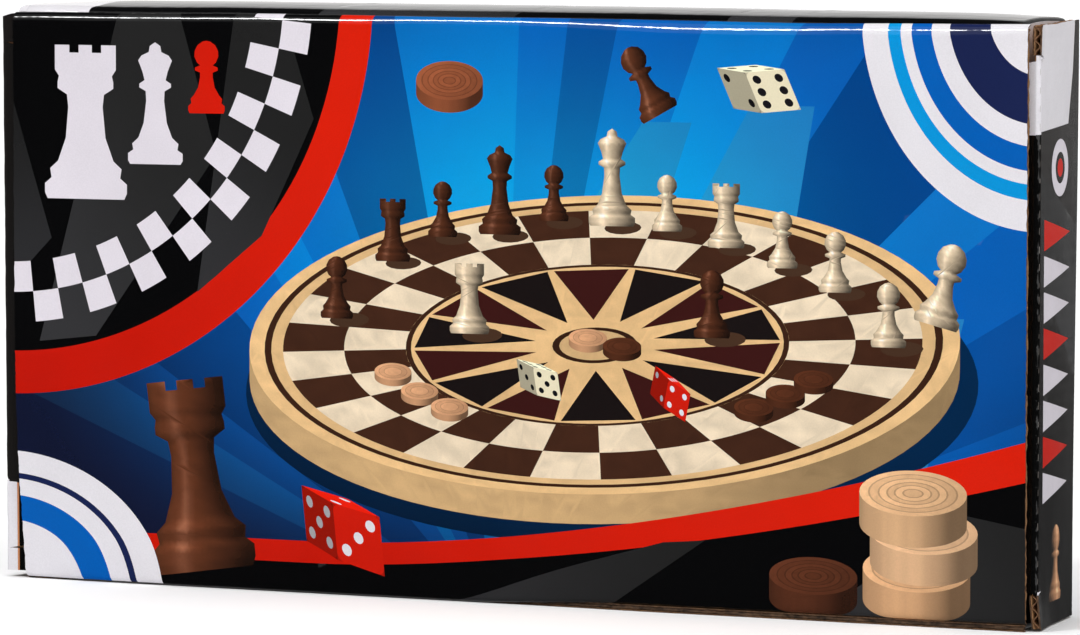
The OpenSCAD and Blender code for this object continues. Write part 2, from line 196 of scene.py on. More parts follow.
def dense_at(ring, zones):
    """Splits the edges of a ring finely where they cross a zone of w that is curved."""
    if not zones:
        return ring
    out = []
    for a, b in zip(ring, np.roll(ring, -1, 0)):
        out.append(a)
        lo, hi = min(a[1], b[1]), max(a[1], b[1])
        for z0, z1, step in zones:
            if hi > z0 and lo < z1 and np.hypot(*(b - a)) > step:
                if hi - lo < 1e-6:
                    ts = np.arange(step, np.hypot(*(b - a)), step * 4) / np.hypot(*(b - a))
                else:
                    zs = np.arange(max(lo, z0), min(hi, z1), step)
                    ts = np.sort((zs - a[1]) / (b[1] - a[1]))
                out += [a + (b - a) * t for t in ts if 0.001 < t < 0.999]
    return np.array(out)


def slab(piece, at, ring, n0, n1, mats, us, ws, layers=None, coarse=4, fine=None, wall=(0.2, 0.13, 0.08)):
    """A closed layer of the board over the outline ring, from depth n0 to n1.
    mats = (face at n0, face at n1, cut edge). The face at n0 carries the print of layers."""
    ring = np.asarray(ring, float)
    pts, edges = [ring], [(i, (i + 1) % len(ring)) for i in range(len(ring))]
    n, more = len(ring), []
    for layer in layers or []:
        for r in layer["rings"]:
            r = dense_at(r, fine)
            pts.append(r)
            edges += [(n + i, n + (i + 1) % len(r)) for i in range(len(r))]
            n += len(r)
            if layer["cell"]:
                e, (a, b) = layer["cell"], (r.min(0), r.max(0))
                q = grid_in(r, np.arange(a[0] + e / 3, b[0], e), np.arange(a[1] + e / 3, b[1], e))
                more.append(q[inside(q[:, 0], q[:, 1], ring)])
    pts += more
    pts.append(grid_in(ring, us, ws))
    p, tri = cdt(np.concatenate(pts), edges)
    cen = p[tri].mean(1)
    tri = tri[inside(cen[:, 0], cen[:, 1], ring)]
    a, b, c = p[tri[:, 0]], p[tri[:, 1]], p[tri[:, 2]]
    area = (b[:, 0] - a[:, 0]) * (c[:, 1] - a[:, 1]) - (b[:, 1] - a[:, 1]) * (c[:, 0] - a[:, 0])
    tri = np.where((area < 0)[:, None], tri[:, ::-1], tri)
    used = np.unique(tri)
    new = -np.ones(len(p), int)
    new[used] = np.arange(len(used))
    p, tri = p[used], new[tri]
    ink = None
    if layers:
        cen = p[tri].mean(1)
        owner = np.zeros(len(tri), int)
        for k, layer in enumerate(layers):
            hit = np.zeros(len(tri), bool)
            for r in layer["rings"]:
                hit ^= inside(cen[:, 0], cen[:, 1], r)
            if k == 0 and not layer["rings"]:
                hit[:] = True
            owner[hit] = k
        ink = np.zeros((len(tri), 3, 3))
        for k, layer in enumerate(layers):
            sel = owner == k
            if sel.any():
                q = p[tri[sel]].reshape(-1, 2)
                ink[sel] = linear(layer["ink"](q[:, 0], q[:, 1])).reshape(-1, 3, 3)
    # the rim of this triangulation, in order round each triangle
    e = np.concatenate([tri[:, [0, 1]], tri[:, [1, 2]], tri[:, [2, 0]]])
    keys = {(int(x), int(y)) for x, y in e}
    rim = [(x, y) for x, y in keys if (y, x) not in keys]
    rim_v = sorted({x for x, _ in rim} | {y for _, y in rim})
    place = {v: i for i, v in enumerate(rim_v)}
    inner = grid_in(ring, us[::coarse] if len(us) > coarse else us, ws[::coarse] if len(ws) > coarse else ws)
    far = np.ones(len(inner), bool)
    rp = p[rim_v]
    for k in range(0, len(inner), 400):
        d = np.hypot(inner[k:k + 400, None, 0] - rp[None, :, 0], inner[k:k + 400, None, 1] - rp[None, :, 1])
        far[k:k + 400] = d.min(1) > 0.05
    pb, tb = cdt(np.concatenate([rp, inner[far]]), [(place[x], place[y]) for x, y in rim])
    cen = pb[tb].mean(1)
    tb = tb[inside(cen[:, 0], cen[:, 1], ring)]
    a, b, c = pb[tb[:, 0]], pb[tb[:, 1]], pb[tb[:, 2]]
    area = (b[:, 0] - a[:, 0]) * (c[:, 1] - a[:, 1]) - (b[:, 1] - a[:, 1]) * (c[:, 0] - a[:, 0])
    tb = np.where((area < 0)[:, None], tb[:, ::-1], tb)[np.abs(area) > 1e-9]
    flip = flips(at, *p[tri].mean(1)[0])
    top = np.stack(at(p[:, 0], p[:, 1], np.full(len(p), float(n0))), 1)
    bot = np.stack(at(pb[:, 0], pb[:, 1], np.full(len(pb), float(n1))), 1)
    near = {tuple(np.round(q, 4)): i for i, q in enumerate(pb)}
    low = {v: near.get(tuple(np.round(p[v], 4)), place[v]) for v in rim_v}
    o = -1 if flip else 1
    base = piece.n
    piece.add(top, [t[::o] for t in tri], mats[0], [i[::o] for i in ink] if ink is not None else None)
    piece.add(bot, [t[::-o] for t in tb], mats[1])
    off = len(top)
    walls = [(x, low[x] + off, low[y] + off, y)[::o] for x, y in rim]
    for f in walls:
        piece.f.append([base + i for i in f])
        piece.m.append(mats[2])
        piece.c.extend([tuple(wall)] * 4)


def flutes(piece, at, w0, w1, reach, mat, seed=0, us=None, n_mid=0.85, amp=0.43, half=0.11, phase=0.0, pitch=PITCH):
    """The waved medium from w0 to w1. reach(w) gives the ends of each flute."""
    m = int((w1 - w0) / pitch * 10) + 2
    w = np.linspace(w0, w1, m)
    n = n_mid + amp * np.sin(2 * pi * (w + phase) / pitch + 0.5 * rough(w / 19.0, seed, 3))
    a, b = reach(w)
    k = us or 1
    vs, fs = [], []
    for s in (-half, half):
        for j in range(k + 1):
            u = a + (b - a) * j / k
            vs.append(np.stack(at(u, w, n + s), 1))
    vs = np.concatenate(vs)
    idx = lambda s, j, i: (s * (k + 1) + j) * m + i
    flip = flips(at, float(a[m // 2] + b[m // 2]) / 2, float(w[m // 2]))
    for i in range(m - 1):
        for j in range(k):
            fs.append([idx(0, j, i), idx(0, j + 1, i), idx(0, j + 1, i + 1), idx(0, j, i + 1)])
            fs.append([idx(1, j, i), idx(1, j, i + 1), idx(1, j + 1, i + 1), idx(1, j + 1, i)])
        fs.append([idx(0, 0, i), idx(0, 0, i + 1), idx(1, 0, i + 1), idx(1, 0, i)])
        fs.append([idx(0, k, i), idx(1, k, i), idx(1, k, i + 1), idx(0, k, i + 1)])
    for j in range(k):
        fs.append([idx(0, j, 0), idx(1, j, 0), idx(1, j + 1, 0), idx(0, j + 1, 0)])
        fs.append([idx(0, j, m - 1), idx(0, j + 1, m - 1), idx(1, j + 1, m - 1), idx(1, j, m - 1)])
    piece.add(vs, [f[::-1] for f in fs] if flip else fs, mat)


# ------------------------------------------------------------------ inks

def linear(c):
    c = np.clip(np.asarray(c, float), 0, 1)
    return np.where(c <= 0.04045, c / 12.92, ((c + 0.055) / 1.055) ** 2.4)


def rgb(*c):
    return np.array(c, float) / 255.0


BLACK, GREY, RED = rgb(5, 5, 6), rgb(40, 40, 43), rgb(204, 26, 8)
LILAC, PAPER = rgb(222, 216, 224), rgb(226, 223, 228)
PINE, CREAM, BARK, IVORY = rgb(226, 186, 132), rgb(232, 213, 184), rgb(52, 30, 20), rgb(232, 222, 190)


def flat(c):
    return lambda u, v: np.tile(np.asarray(c, float), (len(u), 1))


def fade(c0, c1, p0, p1):
    p0, p1 = np.array(p0, float), np.array(p1, float)
    d = p1 - p0

    def ink(u, v):
        t = smooth(0, 1, ((u - p0[0]) * d[0] + (v - p0[1]) * d[1]) / d.dot(d))[:, None]
        return np.asarray(c0) * (1 - t) + np.asarray(c1) * t
    return ink


def tinted(ink, k, add=0.0):
    return lambda u, v: ink(u, v) * k + add


class Print:
    """Layers of flat shapes on a sheet. The last layer over a point gives its ink."""

    def __init__(self, ground):
        self.layers = [{"rings": [], "ink": ground, "cell": 0.0}]

    def shape(self, rings, ink, step=2.0, cell=0.0):
        if len(np.asarray(rings[0]).shape) == 1:
            rings = [rings]
        if not callable(ink):
            ink = flat(ink)
        self.layers.append({"rings": [resample(r, step) for r in rings], "ink": ink, "cell": cell})

    def disc(self, c, rx, ry, ink, turn=0.0, n=40, hole=0.0):
        rings = [oval(c, rx, ry, turn, n)]
        if hole:
            rings.append(oval(c, rx * hole, ry * hole, turn, n))
        self.shape(rings, ink, 50)


def oval(c, rx, ry, turn=0.0, n=40, a0=0.0, a1=2 * pi, closed=True):
    a = a0 + (a1 - a0) * np.arange(n if closed else n + 1) / n
    x, y = rx * np.cos(a), ry * np.sin(a)
    ct, st = math.cos(turn), math.sin(turn)
    return np.stack([c[0] + x * ct - y * st, c[1] + x * st + y * ct], 1)


def placed(pts, c, k=1.0, turn=0.0, flat_y=1.0):
    pts = np.asarray(pts, float)
    x, y = pts[:, 0] * k, pts[:, 1] * k * flat_y
    ct, st = math.cos(turn), math.sin(turn)
    return np.stack([c[0] + x * ct - y * st, c[1] + x * st + y * ct], 1)


# outlines of turned men, radius then height, both in parts of the height
PAWN = [(.27, 0), (.29, .04), (.29, .1), (.24, .14), (.25, .2), (.2, .25), (.13, .36), (.1, .5), (.1, .56),
        (.18, .59), (.18, .63), (.1, .66), (.15, .7), (.19, .78), (.185, .86), (.14, .94), (.06, .99), (0, 1)]
TOWER = [(.29, 0), (.31, .04), (.31, .1), (.26, .14), (.27, .2), (.21, .25), (.15, .4), (.13, .6), (.14, .68),
         (.21, .72), (.21, .76), (.2, .8), (.23, .84), (.23, 1), (.12, 1), (.12, .95), (.05, .95), (.05, 1), (0, 1)]
CROWN = [(.24, 0), (.26, .03), (.26, .09), (.21, .12), (.22, .17), (.16, .22), (.11, .34), (.085, .52), (.09, .6),
         (.15, .63), (.15, .66), (.1, .69), (.12, .76), (.16, .85), (.13, .89), (.06, .92), (.05, .97), (0, 1)]


def man(pr, form, c, h, wood, turn=0.0, lean=1.0):
    """A turned piece with its foot at c: lit from the upper left, with bands at its turned rings."""
    half = np.array(form)
    right = half * [1, 1]
    left = (half * [-1, 1])[::-1]
    ring = placed(np.concatenate([right, left[1:]]), c, h, turn)
    rr, hh = half[:, 0], half[:, 1]
    wood = np.asarray(wood, float)

    def ink(u, v):
        x, y = np.asarray(u) - c[0], np.asarray(v) - c[1]
        ct, st = math.cos(-turn), math.sin(-turn)
        x, y = (x * ct - y * st) / h, (x * st + y * ct) / h
        r = np.interp(y, hh, rr) + 1e-3
        s = np.clip(x / r, -1, 1)
        slope = np.clip(np.gradient(np.interp(np.linspace(0, 1, 200), hh, rr)) * 200, -1.2, 1.2)
        k = np.interp(y, np.linspace(0, 1, 200), slope)
        lit = 0.36 + 0.62 * np.clip(np.sqrt(np.clip(1 - s * s, 0, 1)) * 0.72 - s * 0.5, 0, 1) + 0.12 * -k
        glow = np.exp(-((s + 0.42) / 0.16) ** 2) * (0.16 + 0.2 * np.clip(-k, 0, 1))
        grain = 1 + 0.07 * rough(y * 26 + s * 2, s * 3, 5)
        return wood * (lit * grain)[:, None] + glow[:, None] * (0.35 + 0.65 * wood)
    pr.shape(ring, ink, max(1.0, h / 24), max(0.6, h / 32))


def counter(pr, c, r, wood, squash=0.42, thick=0.34, rings=(0.84, 0.66, 0.5, 0.36, 0.2)):
    """A draughtsman seen from above: its rim, its face and the turned rings on the face."""
    wood = np.asarray(wood, float)
    t = r * thick
    side = np.concatenate([oval((c[0], c[1] - t), r, r * squash, 0, 24, pi, 2 * pi, False),
                           oval(c, r, r * squash, 0, 24, 0, pi, False)])

    def rim(u, v):
        s = (np.asarray(u) - c[0]) / r
        lit = 0.5 + 0.42 * np.clip(1 - (s + 0.35) ** 2, 0, 1)
        return wood * (lit * (1 + 0.025 * rough(np.asarray(u) * 1.1, 0, 9)))[:, None]
    pr.shape(side, rim, 1.5, max(0.6, r / 13))

    def face(k):
        def ink(u, v):
            s = ((np.asarray(u) - c[0]) - 0.6 * (np.asarray(v) - c[1])) / r
            grain = 1 + 0.05 * rough(np.asarray(u) * 0.9, np.asarray(v) * 3.5, 11)
            return wood * (k * (0.98 - 0.1 * s) * grain)[:, None]
        return ink
    pr.disc(c, r, r * squash, face(1.0), n=36)
    for k, q in enumerate(rings):
        pr.disc(c, r * q, r * squash * q, face(0.8), n=30)
        pr.disc(c, r * (q - 0.035), r * squash * (q - 0.035), face(1.02 if k % 2 else 0.95), n=30)


PIPS = {1: [(0, 0)], 2: [(-.5, -.5), (.5, .5)], 3: [(-.5, -.5), (0, 0), (.5, .5)],
        4: [(-.5, -.5), (.5, -.5), (-.5, .5), (.5, .5)],
        5: [(-.5, -.5), (.5, -.5), (-.5, .5), (.5, .5), (0, 0)],
        6: [(-.5, -.55), (.5, -.55), (-.5, 0), (.5, 0), (-.5, .55), (.5, .55)]}


def die(pr, c, a, turn, base, pip, numbers=(5, 3, 6)):
    """A die seen over one corner: three faces with round pips."""
    base, pip = np.asarray(base, float), np.asarray(pip, float)
    ax = [np.array([math.cos(turn - 0.32), math.sin(turn - 0.32)]),
          np.array([-math.sin(turn), math.cos(turn)]),
          np.array([math.cos(turn + pi - 0.55), math.sin(turn + pi - 0.55)])]
    ex, ez, ey = ax[0] * a * 0.86, ax[1] * a * 0.9, ax[2] * a * 0.62 * -1
    c = np.array(c, float)
    faces = [(c, ex, ez, 1.0), (c, -ey, ez, 0.72), (c + ez, ex, -ey, 1.16)]
    o = [np.array([0, 0])]
    for (p, s, t, lit), k in zip(faces, numbers):
        m = p + (s + t) / 2
        quad = np.array([(-1, -1), (1, -1), (1, 1), (-1, 1)]) * 0.5
        ring = []
        for q, (qa, qb) in enumerate(quad):
            for d in range(5):
                ang = pi + q * pi / 2 + d * pi / 8
                rx, ry = 0.13 * math.cos(ang), 0.13 * math.sin(ang)
                ca, cb = qa - np.sign(qa) * 0.13, qb - np.sign(qb) * 0.13
                ring.append(m + (ca + rx) * s + (cb + ry) * t)
        pr.shape(np.array([p, p + s, p + s + t, p + t]), flat(np.clip(base * lit * 0.82, 0, 1)), 4)
        pr.shape(np.array(ring), flat(np.clip(base * lit, 0, 1)), 4)
        for x, y in PIPS[k]:
            w = np.array([m + (x * 0.62 + 0.115 * math.cos(q)) * s * 0.9 + (y * 0.62 + 0.115 * math.sin(q)) * t * 0.9
                          for q in np.arange(14) * 2 * pi / 14])
            pr.shape(w, flat(np.clip(pip * min(lit, 1.0), 0, 1)), 4)
    return o


# ------------------------------------------------------------------ printed designs

SKY, DEEP, NAVY = rgb(8, 146, 214), rgb(4, 92, 178), rgb(16, 22, 48)


def field(u, v, cu=168.0, cv=98.0, su=150.0, sv=92.0):
    """The blue ground: bright round one place, dark far from it."""
    u, v = np.asarray(u, float), np.asarray(v, float)
    d = np.hypot((u - cu) / su, (v - cv) / sv)
    a = smooth(0.05, 0.75, d)[:, None]
    b = smooth(0.62, 1.25, d - 0.22 * smooth(210, 300, u))[:, None]
    c = SKY * (1 - a) + DEEP * a
    c = c * (1 - b) + NAVY * b
    return c * (1 + 0.02 * rough(u / 23, v / 23, 4))[:, None]


def rays(pr, c, spans, ground, far=420.0):
    for a0, a1, k, add in spans:
        a0, a1 = math.radians(a0), math.radians(a1)
        am = (a0 + a1) / 2
        ring = [c, (c[0] + far * math.cos(a0), c[1] + far * math.sin(a0)),
                (c[0] + far * math.cos(am), c[1] + far * math.sin(am)),
                (c[0] + far * math.cos(a1), c[1] + far * math.sin(a1))]
        pr.shape(np.array(ring), tinted(ground, k, np.array(add)), 12)


def outline_man(pr, form, c, h, ink, turn=0.0):
    """The bare outline of a turned piece."""
    half = np.array(form)
    pr.shape(placed(np.concatenate([half, (half * [-1, 1])[::-1][1:]]), c, h, turn), ink, 2.5)


def arcs(pr, c, rx, ry, a0, a1, bands_, n=30):
    """Parts of rings round c: each band is inner radius, outer radius, ink."""
    for r0, r1, ink in bands_:
        pr.shape(np.concatenate([oval(c, rx * r1, ry * r1, 0, n, a0, a1, False), oval(c, rx * r0, ry * r0, 0, n, a1, a0, False)]), ink, 4)


def round_board(pr, c, rx, ry, turn=0.0, cells=28):
    """A round game board in perspective: pine rim, two rings of chequers and a star of points."""
    dark, light = BARK * 1.25, CREAM
    low = (c[0], c[1] - ry * 0.2)

    def rim(u, v):
        s = (np.asarray(u) - c[0]) / rx
        g = 1 + 0.06 * rough(np.asarray(u) * 0.25, np.asarray(v) * 1.9, 21)
        return PINE * ((0.66 + 0.26 * np.clip(1 - (s + 0.4) ** 2, 0, 1)) * g)[:, None]

    def pine(k):
        def ink(u, v):
            g = 1 + 0.055 * rough(np.asarray(u) * 0.16, np.asarray(v) * 1.5, 22) + 0.03 * rough(np.asarray(u) * .6, np.asarray(v) * 6, 23)
            return PINE * (k * g)[:, None]
        return ink
    pr.disc((low[0] + 2, low[1] - ry * 0.09), rx * 1.03, ry * 1.04, lambda u, v: field(u, v) * 0.42, turn, 90)
    side = np.concatenate([oval(low, rx, ry, turn, 44, pi, 2 * pi, False), oval(c, rx, ry, turn, 44, 0, pi, False)])
    pr.shape(side, rim, 6)
    pr.disc(c, rx, ry, pine(1.03), turn, 90)
    pr.disc(c, rx * .955, ry * .955, flat(BARK * 1.1), turn, 90)
    pr.disc(c, rx * .935, ry * .935, pine(.97), turn, 90)

    def cell(r0, r1, a0, a1, ink):
        n = 5
        o = np.concatenate([oval(c, rx * r1, ry * r1, turn, n, a0, a1, False),
                            oval(c, rx * r0, ry * r0, turn, n, a1, a0, False)])
        pr.shape(o, ink, 20)
    for k, (r0, r1) in enumerate([(.72, .9), (.54, .72)]):
        for i in range(cells):
            a0, a1 = 2 * pi * i / cells, 2 * pi * (i + 1) / cells
            tone = (lambda q: (lambda u, v: np.asarray(q) * (1 + 0.07 * rough(np.asarray(u) * .3, np.asarray(v) * 2.1, 30))[:, None]))
            cell(r0, r1, a0, a1, tone(dark if (i + k) % 2 else light))
    pr.disc(c, rx * .54, ry * .54, flat(BARK * 1.1), turn, 70)
    pr.disc(c, rx * .525, ry * .525, pine(1.0), turn, 70)
    m = 14
    for i in range(m):
        a = 2 * pi * (i + 0.5) / m
        d = 2 * pi / m * 0.46
        tip = oval(c, rx * .17, ry * .17, turn, 1, a, a + 1, True)[0]
        b0 = oval(c, rx * .515, ry * .515, turn, 1, a - d, a, True)[0]
        b1 = oval(c, rx * .515, ry * .515, turn, 1, a + d, a + 2 * d, True)[0]
        pr.shape(np.array([b0, b1, tip]), rgb(58, 22, 20) if i % 2 else rgb(24, 18, 18), 6)
    pr.disc(c, rx * .12, ry * .12, flat(BARK), turn, 30)
    pr.disc(c, rx * .1, ry * .1, pine(.92), turn, 30)


def black_facets(pr, spots):
    for ring, k in spots:
        pr.shape(np.array(ring), fade(rgb(k + 8, k + 8, k + 10), rgb(k - 8, k - 8, k - 8), ring[0], ring[2]), 8)


def front_print():
    pr = Print(field)
    rays(pr, (150, -6), [(22, 31, .84, (.0, .0, .02)), (38, 44, 1.0, (.02, .08, .06)), (44, 56, .72, (-.01, .0, .03)),
                         (62, 70, 1.0, (.0, .1, .09)), (78, 83, .8, (0, 0, .02)), (88, 101, 1.0, (.0, .07, .05)),
                         (101, 112, .78, (0, -.01, .0)), (120, 126, 1.0, (.0, .07, .06)), (134, 147, .74, (0, 0, .02)),
                         (152, 158, 1.05, (.01, .05, .05)), (8, 14, 1.0, (.03, .08, .07))], field)
    # a rounded dark field over the upper left corner, with a red rim
    pr.shape(oval((-2, 164), 114, 112, 0, 60, -pi / 2, 0.1, False).tolist() + [(-3, 166)], fade(rgb(192, 20, 5), rgb(214, 30, 8), (0, 60), (110, 158)), 6)
    pr.shape(oval((-2, 164), 104, 100, 0, 60, -pi / 2, 0.1, False).tolist() + [(-3, 166)], flat(BLACK), 6)
    black_facets(pr, [([(8, 67), (26, 69), (64, 120), (52, 160), (34, 160)], 44), ([(58, 82), (78, 98), (94, 130), (84, 160), (70, 160)], 40),
                      ([(-2, 82), (12, 96), (-2, 140)], 36)])
    # plain shapes on the dark field: an arc of chequers and three men
    c0, m = (-2, 164), 17
    for j in range(2):
        for i in range(m):
            if (i + j) % 2 == 0:
                arcs(pr, c0, 104, 100, -pi / 2 + i * pi / 2 / m, -pi / 2 + (i + 1) * pi / 2 / m, [(.75 + j * .085, .835 + j * .085, flat(LILAC))], 4)
    outline_man(pr, TOWER, (23, 107), 42, LILAC)
    outline_man(pr, CROWN, (45, 117), 33, LILAC)
    outline_man(pr, PAWN, (61, 131), 19.5, RED)
    # light beams under the falling pieces
    for (x, y, w, x2, y2, w2, add) in [(232, 136, 9, 208, 70, 22, .1), (199, 131, 7, 172, 78, 16, .08), (275, 81, 8, 255, 38, 17, .12)]:
        pr.shape(np.array([(x - w, y), (x + w, y), (x2 + w2, y2), (x2 - w2, y2)]),
                 (lambda a: (lambda u, v: field(u, v) * .86 + np.array([a, a * 1.5, a * 1.2])))(add), 8)
    round_board(pr, (178, 71), 104, 40, 0.05)
    # men and counters, the far ones first
    light, dark, rosy = rgb(238, 214, 180), rgb(86, 46, 28), rgb(214, 160, 118)
    far = [(118, 92, TOWER, 17, dark), (133, 99, PAWN, 15, dark), (150, 100, CROWN, 24, dark), (166, 104, PAWN, 15, dark),
           (183, 103, CROWN, 26, light), (199, 102, PAWN, 15, light), (216, 98, TOWER, 17, light), (232, 93, PAWN, 15, light),
           (247, 87, PAWN, 16, light)]
    for x, y, form, h, wood in far:
        pr.disc((x + 3.2, y - .4), 5.4, 1.7, flat(rgb(70, 48, 34)), 0.05, 16)
        man(pr, form, (x, y), h, wood)
    near = [(101, 76, PAWN, 17, dark), (262, 73, PAWN, 17, light), (141, 73, TOWER, 19, light), (212, 74, PAWN, 18, dark)]
    for x, y, form, h, wood in near:
        pr.disc((x + 3.8, y - .3), 6, 2.0, flat(rgb(70, 48, 34)), 0.05, 16)
        man(pr, form, (x, y), h, wood)
    for x, y, wood in [(118, 62, rosy), (126, 57, rosy), (135, 53, rosy), (224, 56, dark), (233, 60, dark), (241, 64, dark), (176, 73, rosy), (186, 71, dark)]:
        counter(pr, (x, y), 5.6, wood, .42, .3, (.78, .5))
    die(pr, (161, 57), 8.5, 0.15, IVORY, rgb(20, 20, 24), (5, 3, 6))
    die(pr, (198, 55), 8.5, -0.2, RED, PAPER, (4, 2, 3))
    # dark band along the foot, a red line over it
    band = lambda k, d: [(u, 9 + k + (30 + d) * ((max(u, 96.0) - 96.0) / 204) ** 1.7) for u in np.linspace(-4, 306, 70)]
    pr.shape(band(5.5, 5) + [(306, -4), (-4, -4)], fade(rgb(196, 22, 5), rgb(214, 30, 8), (60, 0), (300, 0)), 6)
    pr.shape(band(0, 0) + [(306, -4), (-4, -4)], flat(BLACK), 6)
    black_facets(pr, [([(120, -3), (176, -3), (210, 20), (198, 19)], 40), ([(236, -3), (306, -3), (306, 26), (282, 30)], 42)])
    # large pieces in front
    man(pr, TOWER, (60, 6), 52, rgb(104, 56, 34), 0.12)
    for y, x, wood in [(15, 270, rgb(226, 176, 130)), (25, 272, rgb(236, 190, 146)), (35, 269, rgb(230, 184, 138))]:
        counter(pr, (x, y), 15, wood, .4, .55)
    counter(pr, (241, 12), 12.5, rgb(92, 50, 32), .4, .5)
    die(pr, (101, 10), 17, 0.1, RED, PAPER, (3, 5, 2))
    # falling pieces
    die(pr, (226, 134), 13, 0.42, IVORY, rgb(24, 22, 26), (6, 2, 4))
    man(pr, PAWN, (197, 133), 20, rgb(96, 52, 32), 0.5)
    man(pr, PAWN, (275, 79), 22, light, -0.25)
    counter(pr, (135, 141), 10, rgb(150, 84, 54), .52, .34)
    # pale corners with a few arcs
    pr.shape(oval((304, 162), 50, 58, 0, 40, pi, 1.5 * pi, False).tolist() + [(305, 163)], flat(PAPER), 5)
    arcs(pr, (304, 162), 50, 58, pi, 1.5 * pi, [(.79, .86, SKY), (.62, .73, DEEP), (.3, .52, NAVY * 1.6)])
    pr.shape(oval((-3, -3), 50, 39, 0, 40, 0, pi / 2, False).tolist() + [(-4, -4)], flat(PAPER), 5)
    arcs(pr, (-3, -3), 50, 39, 0, pi / 2, [(.8, .84, NAVY * 1.6), (.5, .68, DEEP)])
    # a black strip along the foot below the pale corner: painted shade for the shadow line under the bottom fold
    pr.shape(np.array([(-4, -4), (60, -4), (60, 1.95), (-4, 1.95)]), flat(BLACK), 5)
    return pr.layers


def top_print():
    """x along the box from its left end, y from the front fold to the back fold."""
    pr = Print(flat(BLACK))
    black_facets(pr, [([(92, -4), (150, -4), (186, 44), (120, 44)], 40), ([(214, -4), (232, -4), (250, 44), (226, 44)], 38)])
    pr.shape(np.array([(-5, -4), (22.5, -4), (23.0, 1.5), (24.5, 3.5), (31, 44), (-5, 44)]), flat(PAPER), 5)
    return pr.layers


def back_print():
    ground = lambda u, v: field(u, v, 120, 70, 150, 90) * .9
    pr = Print(ground)
    rays(pr, (215, 170), [(188, 197, .8, (0, 0, .02)), (204, 212, 1.0, (0, .07, .06)), (220, 233, .78, (0, 0, .02)),
                          (240, 246, 1.0, (0, .07, .06)), (254, 268, .8, (0, 0, .02)), (276, 284, 1.0, (0, .06, .05)),
                          (292, 305, .8, (0, 0, .02)), (318, 328, 1.0, (0, .06, .06))], ground)
    pr.shape(oval((304, -4), 120, 74, 0, 50, pi / 2, pi, False).tolist() + [(305, -5)], flat(RED), 6)
    pr.shape(oval((304, -4), 114, 68, 0, 50, pi / 2, pi, False).tolist() + [(305, -5)], flat(BLACK), 6)
    pr.shape(np.array([(-4, 122), (306, 140), (306, 165), (-4, 165)]), flat(RED), 6)
    pr.shape(np.array([(-4, 126), (306, 144), (306, 165), (-4, 165)]), flat(BLACK), 6)
    for i in range(12):
        x = 14 + i * 9
        pr.shape(np.array([(x, 134 + x * .058), (x + 7.4, 134.4 + x * .058), (x + 3.7, 150)]), LILAC if i % 2 else RED, 4)
    round_board(pr, (120, 66), 92, 37, -0.06, 24)
    light, dark = rgb(238, 214, 180), rgb(86, 46, 28)
    for x, y, form, h, wood in [(78, 86, PAWN, 16, dark), (96, 92, TOWER, 18, dark), (116, 95, CROWN, 25, light),
                                (136, 95, PAWN, 16, light), (156, 90, TOWER, 18, light), (60, 72, PAWN, 17, dark),
                                (172, 76, PAWN, 17, light), (104, 60, CROWN, 27, dark), (140, 57, PAWN, 19, light)]:
        pr.disc((x + 3.4, y - .3), 5.6, 1.8, flat(rgb(70, 48, 34)), 0, 14)
        man(pr, form, (x, y), h, wood)
    die(pr, (222, 70), 17, 0.3, RED, PAPER, (5, 1, 4))
    for y, x in [(18, 268), (28, 270)]:
        counter(pr, (x, y), 15, rgb(230, 184, 138), .4, .5)
    # bare pale panels
    for x0, y0, x1, y1 in [(200, 96, 288, 132), (10, 10, 58, 30)]:
        r = 3.0
        ring = np.concatenate([oval((x1 - r, y1 - r), r, r, 0, 6, 0, pi / 2, False), oval((x0 + r, y1 - r), r, r, 0, 6, pi / 2, pi, False),
                               oval((x0 + r, y0 + r), r, r, 0, 6, pi, 1.5 * pi, False), oval((x1 - r, y0 + r), r, r, 0, 6, 1.5 * pi, 2 * pi, False)])
        pr.shape(ring, flat(PAPER), 5)
    return pr.layers


def end_print(left=False):
    """u from the hinge fold to the tuck fold, w up. Dark, a pale block and a column of plain shapes."""
    ground = fade(rgb(17, 16, 16), rgb(38, 35, 34), (10, 10), (10, 150))
    pr = Print(ground)
    black_facets(pr, [([(-3, 62), (40, 96), (40, 122), (-3, 102)], 46)])
    if left:
        pr.shape(np.array([(-6, -4), (44, -4), (44, 27.0), (-6, 36)]), flat(PAPER), 5)
    else:
        pr.shape(np.array([(4.3, 166), (4.3, 157), (6.0, 145), (10.2, 131.3), (44, 129.2), (44, 166)]), flat(PAPER), 5)
    z0 = 44 if left else 33
    for k in range(8):
        z = z0 + k * 9.4
        pr.shape(np.array([(31, z), (31, z + 8.2), (7.5, z + 4.1)]), RED if k % 3 == 1 else LILAC, 4)
    pr.disc((17.5, z0 + 87), 7.5, 7.5, flat(LILAC), hole=.55)
    pr.disc((17.5, z0 + 87), 2.4, 2.4, flat(RED))
    man(pr, PAWN, (18, 6.5 if not left else 136), 20 if not left else 17, rgb(216, 158, 116))
    return pr.layers


def dark_print():
    return Print(fade(rgb(15, 14, 14), rgb(11, 10, 11), (0, 0), (0, 100))).layers


def tab_print(left=False):
    pr = Print(flat(rgb(26, 24, 23) if left else rgb(6, 6, 6)))
    if left:
        pr.shape(np.array([(-6, -4), (3.2, -4), (3.2, 26.6), (-6, 27.2)]), flat(rgb(196, 132, 92)), 5)
        pr.shape(np.array([(-6, -4), (2.62, -4), (2.62, 26.8), (-6, 27.3)]), flat(PAPER), 5)
        pr.shape(np.array([(3.2, -4), (16, -4), (16, 165), (3.2, 165)]), flat(rgb(6, 6, 6)), 5)
    else:
        pr.shape(np.array([(-6, 129), (20, 129), (20, 165), (-6, 165)]), flat(PAPER), 5)
    return pr.layers


# ------------------------------------------------------------------ materials

def fresh(name):
    m = bpy.data.materials.new(name)
    m.use_nodes = True
    nt = m.node_tree
    return m, nt, nt.nodes["Principled BSDF"]


